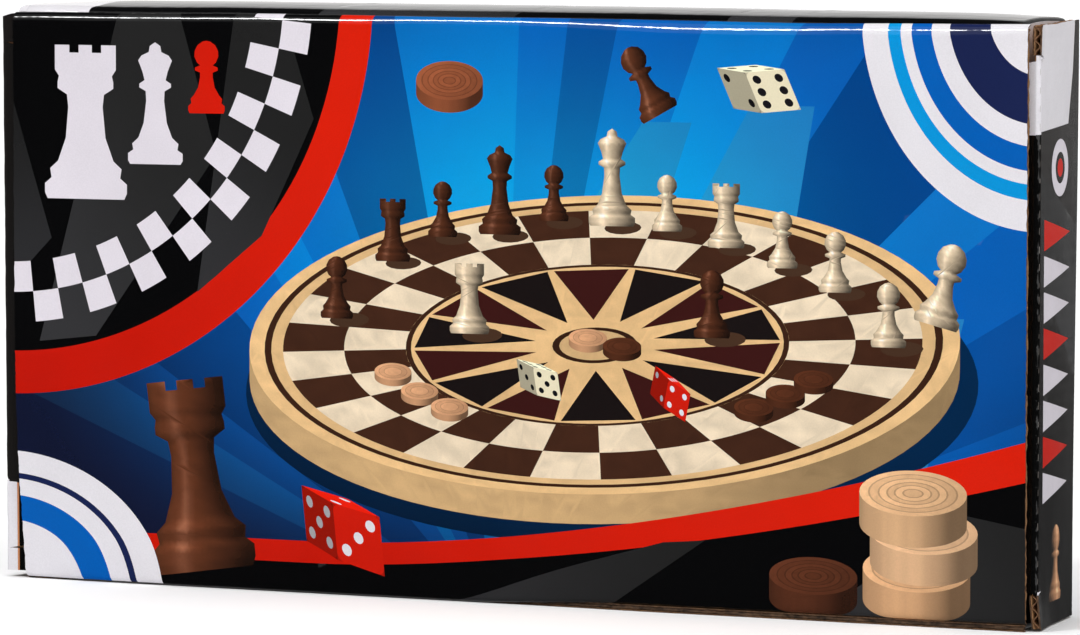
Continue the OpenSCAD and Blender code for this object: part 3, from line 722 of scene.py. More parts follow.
def node(nt, kind, **kw):
    n = nt.nodes.new(kind)
    for k, v in kw.items():
        if k in n.inputs.keys():
            n.inputs[k].default_value = v
        else:
            setattr(n, k, v)
    return n


def noise(nt, vec, scale, detail=3.0, rough=0.55, stretch=None):
    if stretch is not None:
        mp = node(nt, "ShaderNodeMapping")
        mp.inputs["Scale"].default_value = stretch
        nt.links.new(vec, mp.inputs["Vector"])
        vec = mp.outputs["Vector"]
    n = node(nt, "ShaderNodeTexNoise", Scale=scale, Detail=detail, Roughness=rough)
    nt.links.new(vec, n.inputs["Vector"])
    return n.outputs["Fac"]


def span(nt, value, lo, hi, a=0.3, b=0.7):
    r = node(nt, "ShaderNodeMapRange")
    for k, x in zip(("From Min", "From Max", "To Min", "To Max"), (a, b, lo, hi)):
        r.inputs[k].default_value = x
    nt.links.new(value, r.inputs["Value"])
    return r.outputs["Result"]


def mixed(nt, fac, a, b, mode="MIX"):
    x = nt.nodes.new("ShaderNodeMix")
    x.data_type, x.blend_type = "RGBA", mode
    for sock, val in ((x.inputs[0], fac), (x.inputs[6], a), (x.inputs[7], b)):
        if hasattr(val, "links"):
            nt.links.new(val, sock)
        elif isinstance(val, (int, float)):
            sock.default_value = val
        else:
            sock.default_value = (*linear(val), 1.0)
    return x.outputs[2]


def bump(nt, bsdf, heights):
    last = None
    for value, dist in heights:
        b = node(nt, "ShaderNodeBump", Strength=1.0, Distance=dist)
        nt.links.new(value, b.inputs["Height"])
        if last is not None:
            nt.links.new(last, b.inputs["Normal"])
        last = b.outputs["Normal"]
    nt.links.new(last, bsdf.inputs["Normal"])


def bands(nt, vec, direction, pitch, distort=0.6):
    w = nt.nodes.new("ShaderNodeTexWave")
    w.wave_type, w.bands_direction, w.wave_profile = "BANDS", direction, "SIN"
    w.inputs["Scale"].default_value = 2 * pi / 20 / pitch
    w.inputs["Distortion"].default_value = distort
    w.inputs["Detail"].default_value = 1.0
    w.inputs["Detail Scale"].default_value = 0.3
    nt.links.new(vec, w.inputs["Vector"])
    return w.outputs["Fac"]


def printed(name, direction, cross):
    """Glossy film over print on a fluted board: faint washboard, film texture, soft scuffs."""
    m, nt, b = fresh(name)
    ink = node(nt, "ShaderNodeAttribute", attribute_name="ink")
    pos = node(nt, "ShaderNodeTexCoord").outputs["Object"]
    tone = span(nt, noise(nt, pos, 24, 4), 0.94, 1.05)
    grain = span(nt, noise(nt, pos, 2300, 2), 0.965, 1.035)
    k = node(nt, "ShaderNodeMath", operation="MULTIPLY")
    nt.links.new(tone, k.inputs[0])
    nt.links.new(grain, k.inputs[1])
    col = nt.nodes.new("ShaderNodeVectorMath")
    col.operation = "SCALE"
    nt.links.new(ink.outputs["Color"], col.inputs[0])
    nt.links.new(k.outputs[0], col.inputs["Scale"])
    scuff = span(nt, noise(nt, pos, 210, 6, 0.7, cross), 0.0, 0.5, 0.71, 0.82)
    out = mixed(nt, scuff, col.outputs[0], rgb(120, 116, 114))
    nt.links.new(out, b.inputs["Base Color"])
    nt.links.new(span(nt, noise(nt, pos, 60, 5, 0.6), 0.055, 0.11), b.inputs["Roughness"])
    b.inputs["IOR"].default_value = 1.5
    bump(nt, b, [(bands(nt, pos, direction, PITCH * K), 0.000009), (noise(nt, pos, 70, 3), 0.00022),
                 (noise(nt, pos, 1100, 2), 0.0000022)])
    return m


def kraft(name, light, dark, stretch, depth=0.00002):
    m, nt, b = fresh(name)
    pos = node(nt, "ShaderNodeTexCoord").outputs["Object"]
    fibre = span(nt, noise(nt, pos, 900, 5, 0.65, stretch), 0.0, 1.0, 0.34, 0.68)
    cloud = span(nt, noise(nt, pos, 45, 3), 0.0, 0.5)
    col = mixed(nt, fibre, light, dark)
    col = mixed(nt, cloud, col, np.asarray(dark) * 1.1)
    fleck = span(nt, noise(nt, pos, 2600, 1), 0.0, 0.55, 0.7, 0.76)
    col = mixed(nt, fleck, col, rgb(92, 60, 38))
    nt.links.new(col, b.inputs["Base Color"])
    nt.links.new(span(nt, noise(nt, pos, 300, 2), 0.72, 0.9), b.inputs["Roughness"])
    b.inputs["Specular IOR Level"].default_value = 0.25
    bump(nt, b, [(fibre, depth), (noise(nt, pos, 160, 3), 0.00006)])
    return m


def wood(name, light, dark, along, gloss=(0.42, 0.6), ring=0.012, seed=0.0):
    """Straight-grained wood: bands of early and late wood, pores drawn out along the grain."""
    m, nt, b = fresh(name)
    pos = node(nt, "ShaderNodeTexCoord").outputs["Object"]
    mp = node(nt, "ShaderNodeMapping")
    mp.inputs["Location"].default_value = (seed, seed * 0.7, seed * 1.3)
    mp.inputs["Scale"].default_value = {"X": (0.06, 1, 1), "Y": (1, 0.06, 1), "Z": (1, 1, 0.06)}[along]
    nt.links.new(pos, mp.inputs["Vector"])
    v = mp.outputs["Vector"]
    w = nt.nodes.new("ShaderNodeTexWave")
    w.wave_type, w.bands_direction, w.wave_profile = "BANDS", {"X": "Z", "Y": "X", "Z": "Y"}[along], "SAW"
    w.inputs["Scale"].default_value = 2 * pi / 20 / ring
    w.inputs["Distortion"].default_value = 5.0
    w.inputs["Detail"].default_value = 3.0
    w.inputs["Detail Scale"].default_value = 1.2
    nt.links.new(v, w.inputs["Vector"])
    late = span(nt, w.outputs["Fac"], 0.0, 0.75, 0.2, 1.0)
    col = mixed(nt, late, light, dark)
    pore = span(nt, noise(nt, v, 1500, 4, 0.6), 0.0, 0.5, 0.52, 0.72)
    col = mixed(nt, pore, col, np.asarray(dark) * 0.72)
    cloud = span(nt, noise(nt, pos, 35, 3), 0.0, 0.35)
    col = mixed(nt, cloud, col, np.clip(np.asarray(light) * 1.08, 0, 1))
    nt.links.new(col, b.inputs["Base Color"])
    nt.links.new(span(nt, pore, gloss[0], gloss[1], 0.0, 0.5), b.inputs["Roughness"])
    bump(nt, b, [(pore, 0.00003), (w.outputs["Fac"], 0.00002)])
    return m, nt, b, col, pos


def chequered(name, cell):
    """Veneer board panel: squares of two woods inside a plain border."""
    m, nt, b, col, pos = wood(name, rgb(236, 208, 164), rgb(206, 164, 112), "X", ring=0.02)
    mp = node(nt, "ShaderNodeMapping")
    mp.inputs["Location"].default_value = (0.128, 0.5, -0.0145)
    nt.links.new(pos, mp.inputs["Vector"])
    ch = node(nt, "ShaderNodeTexChecker", Scale=1 / cell)
    nt.links.new(mp.outputs["Vector"], ch.inputs["Vector"])
    ch.inputs["Color1"].default_value = (1, 1, 1, 1)
    ch.inputs["Color2"].default_value = (0, 0, 0, 1)
    fib = noise(nt, pos, 1200, 4, 0.6, (0.06, 1, 1))
    dark = mixed(nt, span(nt, fib, 0, 1), rgb(66, 36, 22), rgb(36, 20, 13))
    sep = node(nt, "ShaderNodeSeparateXYZ")
    nt.links.new(pos, sep.inputs[0])
    ax = node(nt, "ShaderNodeMath", operation="ABSOLUTE")
    nt.links.new(sep.outputs[0], ax.inputs[0])
    gx = node(nt, "ShaderNodeMath", operation="LESS_THAN")
    nt.links.new(ax.outputs[0], gx.inputs[0])
    gx.inputs[1].default_value = 0.128
    k = node(nt, "ShaderNodeMath", operation="MULTIPLY")
    nt.links.new(gx.outputs[0], k.inputs[0])
    nt.links.new(ch.outputs["Fac"], k.inputs[1])
    nt.links.new(mixed(nt, k.outputs[0], col, dark), b.inputs["Base Color"])
    return m


def brass(name):
    m, nt, b = fresh(name)
    pos = node(nt, "ShaderNodeTexCoord").outputs["Object"]
    age = span(nt, noise(nt, pos, 420, 5, 0.65), 0.0, 0.7)
    nt.links.new(mixed(nt, age, rgb(214, 172, 92), rgb(128, 92, 44)), b.inputs["Base Color"])
    b.inputs["Metallic"].default_value = 1.0
    nt.links.new(span(nt, age, 0.24, 0.46, 0.0, 0.7), b.inputs["Roughness"])
    bump(nt, b, [(noise(nt, pos, 3000, 2, 0.5, (1, 1, 0.1)), 0.000004)])
    return m


def plastic(name, c):
    m, nt, b = fresh(name)
    pos = node(nt, "ShaderNodeTexCoord").outputs["Object"]
    f = span(nt, noise(nt, pos, 160, 3), 0.0, 0.5)
    nt.links.new(mixed(nt, f, c, np.asarray(c) * 0.86), b.inputs["Base Color"])
    nt.links.new(span(nt, noise(nt, pos, 700, 3), 0.2, 0.34), b.inputs["Roughness"])
    b.inputs["Subsurface Weight"].default_value = 0.05
    b.inputs["Subsurface Scale"].default_value = 0.002
    bump(nt, b, [(noise(nt, pos, 1800, 2), 0.000003)])
    return m


ink_z = printed("print_film_upright", "Z", (0.25, 1, 1))
ink_y = printed("print_film_level", "Y", (0.25, 1, 1))
liner_in = kraft("brown_liner", rgb(196, 154, 112), rgb(170, 126, 86), (0.12, 1, 1))
# the cut edges and the fluted medium are brown board; their colours are darkened further as painted shade for the
# hollows of the flutes
raw_cut = kraft("raw_cut_board_painted_shade", rgb(124, 94, 70), rgb(48, 32, 22), (1, 1, 1), 0.00005)
medium = kraft("fluted_medium_painted_shade", rgb(158, 120, 88), rgb(86, 58, 38), (0.3, 1, 1), 0.00004)
# crushed board of the bottom's front edge; its near-black dark tone is painted shade for the shadow under the front
# fold's rounding
crushed_edge_and_shade = kraft("crushed_board_edge_painted_shade", rgb(112, 86, 64), rgb(22, 15, 11), (0.5, 1, 1), 0.00008)
PRINT_Z, PRINT_Y = [ink_z, liner_in, raw_cut, medium], [ink_y, liner_in, raw_cut, medium]


# ------------------------------------------------------------------ carton

def curve(x, xs, ys):
    """A smooth line through given points."""
    xs, ys = np.asarray(xs, float), np.asarray(ys, float)
    x = np.clip(np.asarray(x, float), xs[0], xs[-1])
    m = np.gradient(ys, xs)
    i = np.clip(np.searchsorted(xs, x) - 1, 0, len(xs) - 2)
    h = xs[i + 1] - xs[i]
    t = (x - xs[i]) / h
    return ((1 + 2 * t) * (1 - t) ** 2 * ys[i] + t * (1 - t) ** 2 * h * m[i]
            + t * t * (3 - 2 * t) * ys[i + 1] + t * t * (t - 1) * h * m[i + 1])


def crown(x):
    return curve(x, [-150, -139, -123, -108, -92, -76, -49, -19, 17, 52, 86, 114, 142, 148],
                 [2.2, 2.6, 3.1, 3.17, 3.13, 3.0, 2.98, 3.14, 3.08, 3.15, 3.15, 2.8, 2.0, 1.5])


def swell(x):
    """How far the front fold rides up or down along the box."""
    return curve(x, [-150, -139, -108, -76, -49, -19, 17, 52, 86, 114, 142, 150],
                 [.8, .85, .75, .85, .65, .36, .22, -.14, -.55, -.42, -.38, -.35])


def lift(x, y):
    y = np.asarray(y, float)
    s = np.clip(17.0 - np.abs(y - 0.3), 0, 17)
    k = 0.34 + 0.4 * smooth(-120, -148, x)
    up = k * (1 - np.exp(-s / 0.8)) + (1 - k) * (1 - (1 - s / 17) ** 2)
    return crown(x) * up + swell(x) * smooth(17, 3, y)


def inset(z):
    """The lower left corner of the front panel is pushed back by wear."""
    z = np.asarray(z, float)
    k = np.clip((3.6 - z) / 2.6, 0, 0.98)
    return 2.75 * np.clip((82 - z) / 82, 0, 1) ** 2.2 + 1.3 * (1 - np.sqrt(1 - k * k))


def front_at(u, v, n):
    u, v, n = np.broadcast_arrays(np.asarray(u, float), np.asarray(v, float), np.asarray(n, float))
    x = u - HW
    dent = 0.05 * rough2(u / 17, v / 11, 2) + 0.03 * smooth(146, 153, v) * smooth(158, 155, v) * rough2(u / 19.7, v / 30, 8)
    dent = dent + 0.25 * smooth(0, 60, u) * smooth(300, 240, u) * np.sin(np.clip(v / 158, 0, 1) * pi)
    curl = 1.1 * smooth(34, 0, u) * smooth(40, 0, v) + 0.35 * smooth(286, 300, u) * smooth(26, 0, v)
    m = n - dent
    low = np.clip((3.4 - v) / 1.7, 0, pi / 2)
    tall = curve(u, [0, 40, 75, 110, 133, 155, 170, 203, 237, 270, 300], [2.4, 2.6, 2.7, 2.8, 3.2, 3.4, 3.5, 3.6, 3.6, 3.4, 3.0])
    tall = tall + 0.18 * rough(u / 23, 0, 17) + 0.05 * rough(u / 6.5, 0, 18)
    flat_k = curve(u, [0, 80, 103, 122, 140, 168, 203, 225, 240, 270, 300], [1, 1, 1.0, .72, .62, .84, 1.3, 1.25, 1.1, 1.1, 1])
    start = H - tall
    top = np.clip((v - start) / (FRONT_V1 - start), 0, 1) * pi / 2
    y = -HD + m
    z = v * 1.0
    y = np.where(v < 3.4, -HD + T - (T - m) * np.cos(low), y)
    z = np.where(v < 3.4, 3.4 - (T - m) * np.sin(low), z)
    y = np.where(v > start, -HD + FOLD - (FOLD - m) * np.clip(np.cos(top), 0, 1) ** flat_k, y)
    z = np.where(v > start, start + (tall - m) * np.sin(top) ** flat_k, z)
    z = z + swell(x) * smooth(112, 157, v) - 1.52 * smooth(190, 140, u) * smooth(13, 2.5, v)
    return x, y + curl, z


FRONT_V0, FRONT_V1 = 3.4 - 1.7 * pi / 2, H - FOLD + FOLD * pi / 2
TOP_Y0 = -HD + FOLD


def top_at(u, w, n):
    u, w, n = np.broadcast_arrays(np.asarray(u, float), np.asarray(w, float), np.asarray(n, float))
    x, y = u - HW, TOP_Y0 + w
    dent = 0.035 * rough2(u / 21, w / 9, 31) * smooth(0, 4, w) * smooth(34, 30, w)
    crease = 0.12 * np.exp(-((w - 0.9) / 0.8) ** 2) + 0.2 * np.exp(-((w - 33.0) / 0.8) ** 2)
    return x, y, H + lift(x, y) - crease + dent - n


def back_at(u, v, n):
    u, v, n = np.broadcast_arrays(np.asarray(u, float), np.asarray(v, float), np.asarray(n, float))
    dent = 0.05 * rough2(u / 19, v / 13, 41) + 0.2 * smooth(0, 60, u) * smooth(300, 240, u) * np.sin(np.clip(v / 158, 0, 1) * pi)
    m = n - dent * smooth(0, 6, u) * smooth(300, 294, u)
    low, top = np.clip((T - v) / T, 0, pi / 2), np.clip((v - (H - T)) / T, 0, pi / 2)
    y, z = HD - m, v * 1.0
    y = np.where(v < T, HD - T + (T - m) * np.cos(low), y)
    z = np.where(v < T, T - (T - m) * np.sin(low), z)
    y = np.where(v > H - T, HD - T + (T - m) * np.cos(top), y)
    z = np.where(v > H - T, H - T + (T - m) * np.sin(top), z)
    return u - HW + bulge(1, v) * smooth(286, 299, u), y, z


BACK_V0, BACK_V1 = T - T * pi / 2, H - T + T * pi / 2
BO, BR = 0.3, 0.7  # offset and radius of the crushed bead inside an end fold
CR = 1.05  # radius of the printed liner round an end fold
CO = CR - T / 2  # how far its centre lies inside the fold line
ARC = CR * pi / 2


def bottom_at(u, w, n):
    u, w, n = np.broadcast_arrays(np.asarray(u, float), np.asarray(w, float), np.asarray(n, float))
    return u - HW, w * 1.0, n + 0.0 * u


def bulge(side, w):
    """How far an end closure stands out: at the tuck fold of the left end, at the hinge fold of the right."""
    w = np.asarray(w, float)
    return (1.6 + 0.55 * w / 158) if side < 0 else 1.0 * smooth(10, 158, w)


def closure_at(side):
    def at(u, w, n):
        u, w, n = np.broadcast_arrays(np.asarray(u, float), np.asarray(w, float), np.asarray(n, float))
        bow = 0.3 * np.sin(np.clip(u / 34.3, 0, 1) * pi) * smooth(0, 40, w) * smooth(158, 118, w)
        bow = bow + 0.05 * rough2(u / 13, w / 15, 51 + side) * smooth(0, 5, u) * smooth(34.3, 29, u)
        if side > 0:
            flare = 0.7 * smooth(12, 0.5, w) ** 1.5 * smooth(20, 35, u) + 0.2 * smooth(146, 157, w) * smooth(20, 35, u)
            ends = np.maximum(smooth(10.5, 9.3, w), smooth(148.7, 149.9, w)) * smooth(32.0, 35.1, u)
            bow = bow + bulge(side, w) * (1 - np.clip(u / 34, 0, 1))
        else:
            flare, ends = 0.0, 0.0
        x, y = HX + T / 2 - n * (1 + 0.5 * ends) + bow + flare + 0.25 * ends, HY - u
        x, y = turned(x, y, HX, HY, SPRUNG)
        if side < 0:
            x = x + bulge(side, w) * np.clip((u - CO) / 33.9, 0, 1.05) ** 1.5
        return side * x, y, w * 1.0
    return at


def tab_at(side):
    def at(q, w, n):
        q, w, n = np.broadcast_arrays(np.asarray(q, float), np.asarray(w, float), np.asarray(n, float))
        x, y = turned(-q, -T / 2 + n, 0, 0, -LEAN)
        x, y = turned(x + HX, y + TABY, HX, HY, SPRUNG)
        if side < 0:
            x = x + bulge(side, w)
        return side * x, y, w * 1.0
    return at


def flap_at(side, top):
    def at(v, w, n):
        v, w, n = np.broadcast_arrays(np.asarray(v, float), np.asarray(w, float), np.asarray(n, float))
        x, z = turned(T / 2 - n, -v, 0, 0, SWING)
        if top:
            return side * (FX + x), w * 1.0, ZT + z + lift(side * FX, w) * (1 - smooth(0, 11, v))
        return side * (FX + x), w * 1.0, ZB - z
    return at


def hinge_at(side):
    """Outside of the fold between the back panel and an end closure."""
    def at(s, w, n):
        s, w, n = np.broadcast_arrays(np.asarray(s, float), np.asarray(w, float), np.asarray(n, float))
        a, r = (1 - s / ARC) * pi / 2, CR - n
        x, y = -CO + r * np.cos(a), -CO + r * np.sin(a)
        k = smooth(0, 1, s / ARC) * SPRUNG
        x, y = x * np.cos(k) - y * np.sin(k), x * np.sin(k) + y * np.cos(k)
        if side > 0:
            x = x + bulge(side, w)
        return side * (HX + x), HY + y, w * 1.0
    return at


def tuck_fold_at(side):
    def at(s, w, n):
        s, w, n = np.broadcast_arrays(np.asarray(s, float), np.asarray(w, float), np.asarray(n, float))
        wob = 0.06 * rough(w / 3.1, 0, 61 + side) * np.sin(np.clip(s / ARC, 0, 1) * pi)
        a, r = -(s / ARC) * pi / 2, CR - n + wob
        x, y = -CO + r * np.cos(a), CO + r * np.sin(a)
        k = -smooth(0, 1, s / ARC) * LEAN
        x, y = x * np.cos(k) - y * np.sin(k), x * np.sin(k) + y * np.cos(k)
        x, y = turned(x + HX, y + TABY, HX, HY, SPRUNG)
        if side < 0:
            x = x + bulge(side, w)
        return side * x, y, w * 1.0
    return at


def flap_fold_at(side, top):
    def at(s, w, n):
        s, w, n = np.broadcast_arrays(np.asarray(s, float), np.asarray(w, float), np.asarray(n, float))
        a, r = (1 - s / ARC) * pi / 2, CR - n
        x, z = -CO + r * np.cos(a), -CO + r * np.sin(a)
        k = smooth(0, 1, s / ARC) * SWING
        x, z = x * np.cos(k) - z * np.sin(k), x * np.sin(k) + z * np.cos(k)
        if top and side < 0:
            x = x + 1.75 * np.sin(np.clip(s / ARC, 0, 1) * pi) ** 0.8
        if top:
            return side * (FX + x), w * 1.0, ZT + z + lift(side * FX, w)
        return side * (FX + x), w * 1.0, ZB - z
    return at




def bead(piece, ends, r, mat, n=14, side=1, wob=0.03, steps=40, lifted=None):
    """A round bead of crushed board along a fold."""
    a, b = np.array(ends[0], float), np.array(ends[1], float)
    d = (b - a) / np.linalg.norm(b - a)
    e = np.array([1.0, 0, 0])
    f = np.cross(d, e)
    vs = []
    for k in range(steps + 1):
        c = a + (b - a) * k / steps
        if lifted is not None:
            c = c + np.array([0, 0, float(lifted(c[0], c[1]))])
        rr = r * (1 + wob * float(rough(k * 0.9, 3, 71)))
        for j in range(n):
            t = 2 * pi * j / n
            vs.append(c + rr * (math.cos(t) * e + math.sin(t) * f))
    fs = []
    for k in range(steps):
        for j in range(n):
            fs.append([k * n + j, k * n + (j + 1) % n, (k + 1) * n + (j + 1) % n, (k + 1) * n + j])
    fs.append([j for j in range(n)][::-1])
    fs.append([steps * n + j for j in range(n)])
    v = np.array(vs)
    q = v[fs[0]]
    if np.dot(np.cross(q[1] - q[0], q[2] - q[0]), q.mean(0) - (a + (b - a) * 0.5 / steps)) < 0:
        fs = [x[::-1] for x in fs]
    piece.add(v, fs, mat)


def ragged(z0, z1, at, seed, k=0.12, step=0.7):
    """Points of a torn-looking cut edge from z0 to z1."""
    n = max(2, int(abs(z1 - z0) / step))
    z = np.linspace(z0, z1, n + 1)
    x = at(z) + k * rough2(z / 2.3, 0, seed) + k * 0.6 * rough(z / 0.9, 0, seed + 1)
    return np.stack([x, z], 1)


def line(p, q, step=4.0):
    p, q = np.array(p, float), np.array(q, float)
    n = max(1, int(np.hypot(*(q - p)) / step))
    return np.array([p + (q - p) * k / n for k in range(n + 1)])


def ring_of(*parts):
    out = []
    for part in parts:
        for p in part:
            if not out or np.hypot(*(np.asarray(p) - out[-1])) > 0.02:
                out.append(np.asarray(p, float))
    if np.hypot(*(out[0] - out[-1])) < 0.02:
        out.pop()
    return np.array(out)


FOLD_ROWS_F = np.concatenate([np.linspace(FRONT_V0 + .2, 3.3, 6), np.arange(5, 154, 2.0), np.linspace(154.6, FRONT_V1 - .25, 13)])
FOLD_ROWS_B = np.concatenate([np.linspace(BACK_V0 + .3, 1.6, 6), np.arange(3, 156, 2.5), np.linspace(156.4, BACK_V1 - .3, 6)])


def front_board():
    p = Piece("front_board", PRINT_Z)
    us = np.arange(1.0, 300, 2.0)

    def outline(seed, k, d=0.0):
        foot = ragged(inset(0) + .3, 299.6 + d, lambda x: FRONT_V0 + .1 + 0 * x, seed + 8, .04, .8)[:, ::-1]
        foot[:, 1] = FRONT_V0 + (foot[:, 1] - FRONT_V0) * (1 + 2.2 * smooth(150, 190, foot[:, 0]))
        return ring_of(foot,
                       ragged(FRONT_V0 + .3, FRONT_V1, lambda z: 300 + d + 0 * z, seed, k),
                       line((299.8 + d, FRONT_V1), (.2 - d, FRONT_V1), 3),
                       ragged(FRONT_V1 - .1, FRONT_V0 + .2, lambda z: inset(z) - d, seed + 5, k))
    slab(p, front_at, outline(101, 0.15), 0.0, LINER, (0, 1, 2), us, FOLD_ROWS_F, front_print(), fine=[(152, 161, .3), (-1, 3.6, .3)])
    slab(p, front_at, outline(111, 0.22, -0.1), T - LINER, T - 0.05, (1, 1, 2), us[::3], FOLD_ROWS_F)
    flutes(p, front_at, FRONT_V0 + 1.0, FRONT_V1 - 0.5,
           lambda w: (inset(w) + 0.15 + 0.25 * rough2(w / 1.9, 0, 121), 299.75 + 0.3 * rough2(w / 1.9, 0, 122)), 3, 1, 16)
    return p.make()


def top_board():
    p = Piece("top_board", PRINT_Y)
    ws = np.concatenate([np.linspace(.25, 3.6, 13), np.arange(4.6, 31, 1.9), np.linspace(31.6, 33.7, 8)])
    x0, x1, w1 = HW - FX + CO, HW + FX - CO, HD - T - TOP_Y0
    # the columns stand on the points of the long edges, or the shading beats along the folds
    us = line((x0, 0), (x1, 0), 2.5)[1:-1, 0]
    ring = ring_of(line((x0, 0), (x1, 0), 2.5), line((x1, 0), (x1, w1), 2), line((x1, w1), (x0, w1), 2.5), line((x0, w1), (x0, 0), 2))
    slab(p, top_at, ring, 0.0, LINER, (0, 1, 2), us, ws, top_print(), fine=[(-1, 6, .4), (29, 36, .5)])
    d = T / 2 - CO
    inner = np.stack([np.clip(ring[:, 0], x0 + d, x1 - d), ring[:, 1]], 1)
    slab(p, top_at, inner, T - LINER, T, (1, 1, 2), us[::3], ws[::2])
    flutes(p, top_at, 0.3, w1 - 0.3, lambda w: (x0 + d + 0.1 + 0 * w, x1 - d - 0.1 + 0 * w), 3, 2, 30)
    for s in (-1, 1):
        bead(p, [(s * (FX - BO), HD - T - 0.4, ZT - BO), (s * (FX - BO), -(HD - T - 0.4), ZT - BO)], BR, 1, lifted=lift)
    return p.make()


def back_board():
    p = Piece("back_board", PRINT_Z)
    x0, x1 = HW - HX + CO, HW + HX - CO
    us = np.arange(3.0, 298, 2.5)
    ring = ring_of(line((x0, BACK_V0), (x1, BACK_V0), 3), line((x1, BACK_V0), (x1, BACK_V1), 2),
                   line((x1, BACK_V1), (x0, BACK_V1), 3), line((x0, BACK_V1), (x0, BACK_V0), 2))
    slab(p, back_at, ring, 0.0, LINER, (0, 1, 2), us, FOLD_ROWS_B, [dict(l, rings=[np.stack([300 - r[:, 0], r[:, 1]], 1) for r in l["rings"]],
                                                                     ink=(lambda f: (lambda u, v: f(300 - np.asarray(u), v)))(l["ink"])) for l in back_print()],
         fine=[(156, 160, .3), (-2, 2, .3)])
    d = T / 2 - CO
    inner = np.stack([np.clip(ring[:, 0], x0 + d, x1 - d), ring[:, 1]], 1)
    slab(p, back_at, inner, T - LINER, T - 0.05, (1, 1, 2), us[::3], FOLD_ROWS_B)
    flutes(p, back_at, BACK_V0 + 0.8, BACK_V1 - 0.8, lambda w: (x0 + d + 0.1 + 0 * w, x1 - d - 0.1 + 0 * w), 3, 3, 16)
    for s in (-1, 1):
        bead(p, [(s * (HX - BO), HY - BO, 1.9), (s * (HX - BO), HY - BO, H - 1.9)], BR, 1)
    return p.make()


def bottom_board():
    p = Piece("bottom_board", PRINT_Y + [crushed_edge_and_shade])
    y1 = HD - T
    back_off = lambda x: 1.95 - 1.45 * smooth(135, 200, x) + 0.15 * rough(np.asarray(x) / 14, 0, 19)

    def outline(seed, k, d=0.0, e=CO):
        x0, x1 = HW - FX + e, HW + FX - e
        edge = ragged(5.0, 299.6, lambda x: -HD + d + back_off(x), seed, k, 0.9)[:, ::-1]
        return ring_of(edge, line((299.8, -HD + 1.4), (299.8, -HD + T), 1), line((299.8, -HD + T), (x1, -HD + T), 1),
                       line((x1, -HD + T), (x1, y1), 2), line((x1, y1), (x0, y1), 4), line((x0, y1), (x0, -HD + 2.6), 2),
                       line((x0, -HD + 2.6), (4.8, -HD + 2.6), 1), line((4.8, -HD + 2.6), (4.8, -HD + 2.3), 1))
    us, ws = np.arange(4.5, 296, 3.0), np.arange(-17, 17, 3.0)
    slab(p, bottom_at, outline(131, 0.16, .1), 0.0, LINER, (0, 1, 2), us, ws, dark_print())
    slab(p, bottom_at, outline(141, 0.22, .22, T / 2), T - LINER, T, (1, 1, 2), us, ws)
    flutes(p, bottom_at, -HD + T + .9, y1 - 0.3, lambda w: (HW - FX + T / 2 + 0.1 + 0 * w, HW + FX - T / 2 - 0.1 + 0 * w), 3, 4, 2)
    # crushed flute along the cut front edge: crushed board, with its colour darkened to near black as painted shade
    # under the rounded front fold
    x = np.linspace(5.2, 299.5, 500)
    vs, fs = [], []
    for j, (yy, zz) in enumerate([(-.35, .32), (-.62, .7), (-.45, 1.05), (-.2, 1.36), (.5, 1.36), (.9, .85), (.5, .32)]):
        w = 0.3 * rough2(x / 1.7, j * 0.5, 151) if yy < 0 else 0 * x
        vs.append(np.stack([x - HW, -HD + 0.75 + back_off(x) + yy + w, zz + 0.12 * rough2(x / 1.5, j * 0.6, 153)], 1))
    n, c = len(x), 7
    vs = np.concatenate(vs)
    for j in range(c):
        for i in range(n - 1):
            a, b = j * n + i, ((j + 1) % c) * n + i
            fs.append([a, b, b + 1, a + 1])
    fs.append([j * n for j in range(c)][::-1])
    fs.append([j * n + n - 1 for j in range(c)])
    q = vs[fs[0]]
    if np.dot(np.cross(q[1] - q[0], q[2] - q[0]), q.mean(0) - vs[[j * n for j in range(c)] + [j * n + 9 for j in range(c)]].mean(0)) < 0:
        fs = [f[::-1] for f in fs]
    p.add(vs, fs, 4)
    for s in (-1, 1):
        bead(p, [(s * (FX - BO), HD - T - 0.4, ZB + BO), (s * (FX - BO), -(HD - T - 0.4), ZB + BO)], BR, 1)
    return p.make()


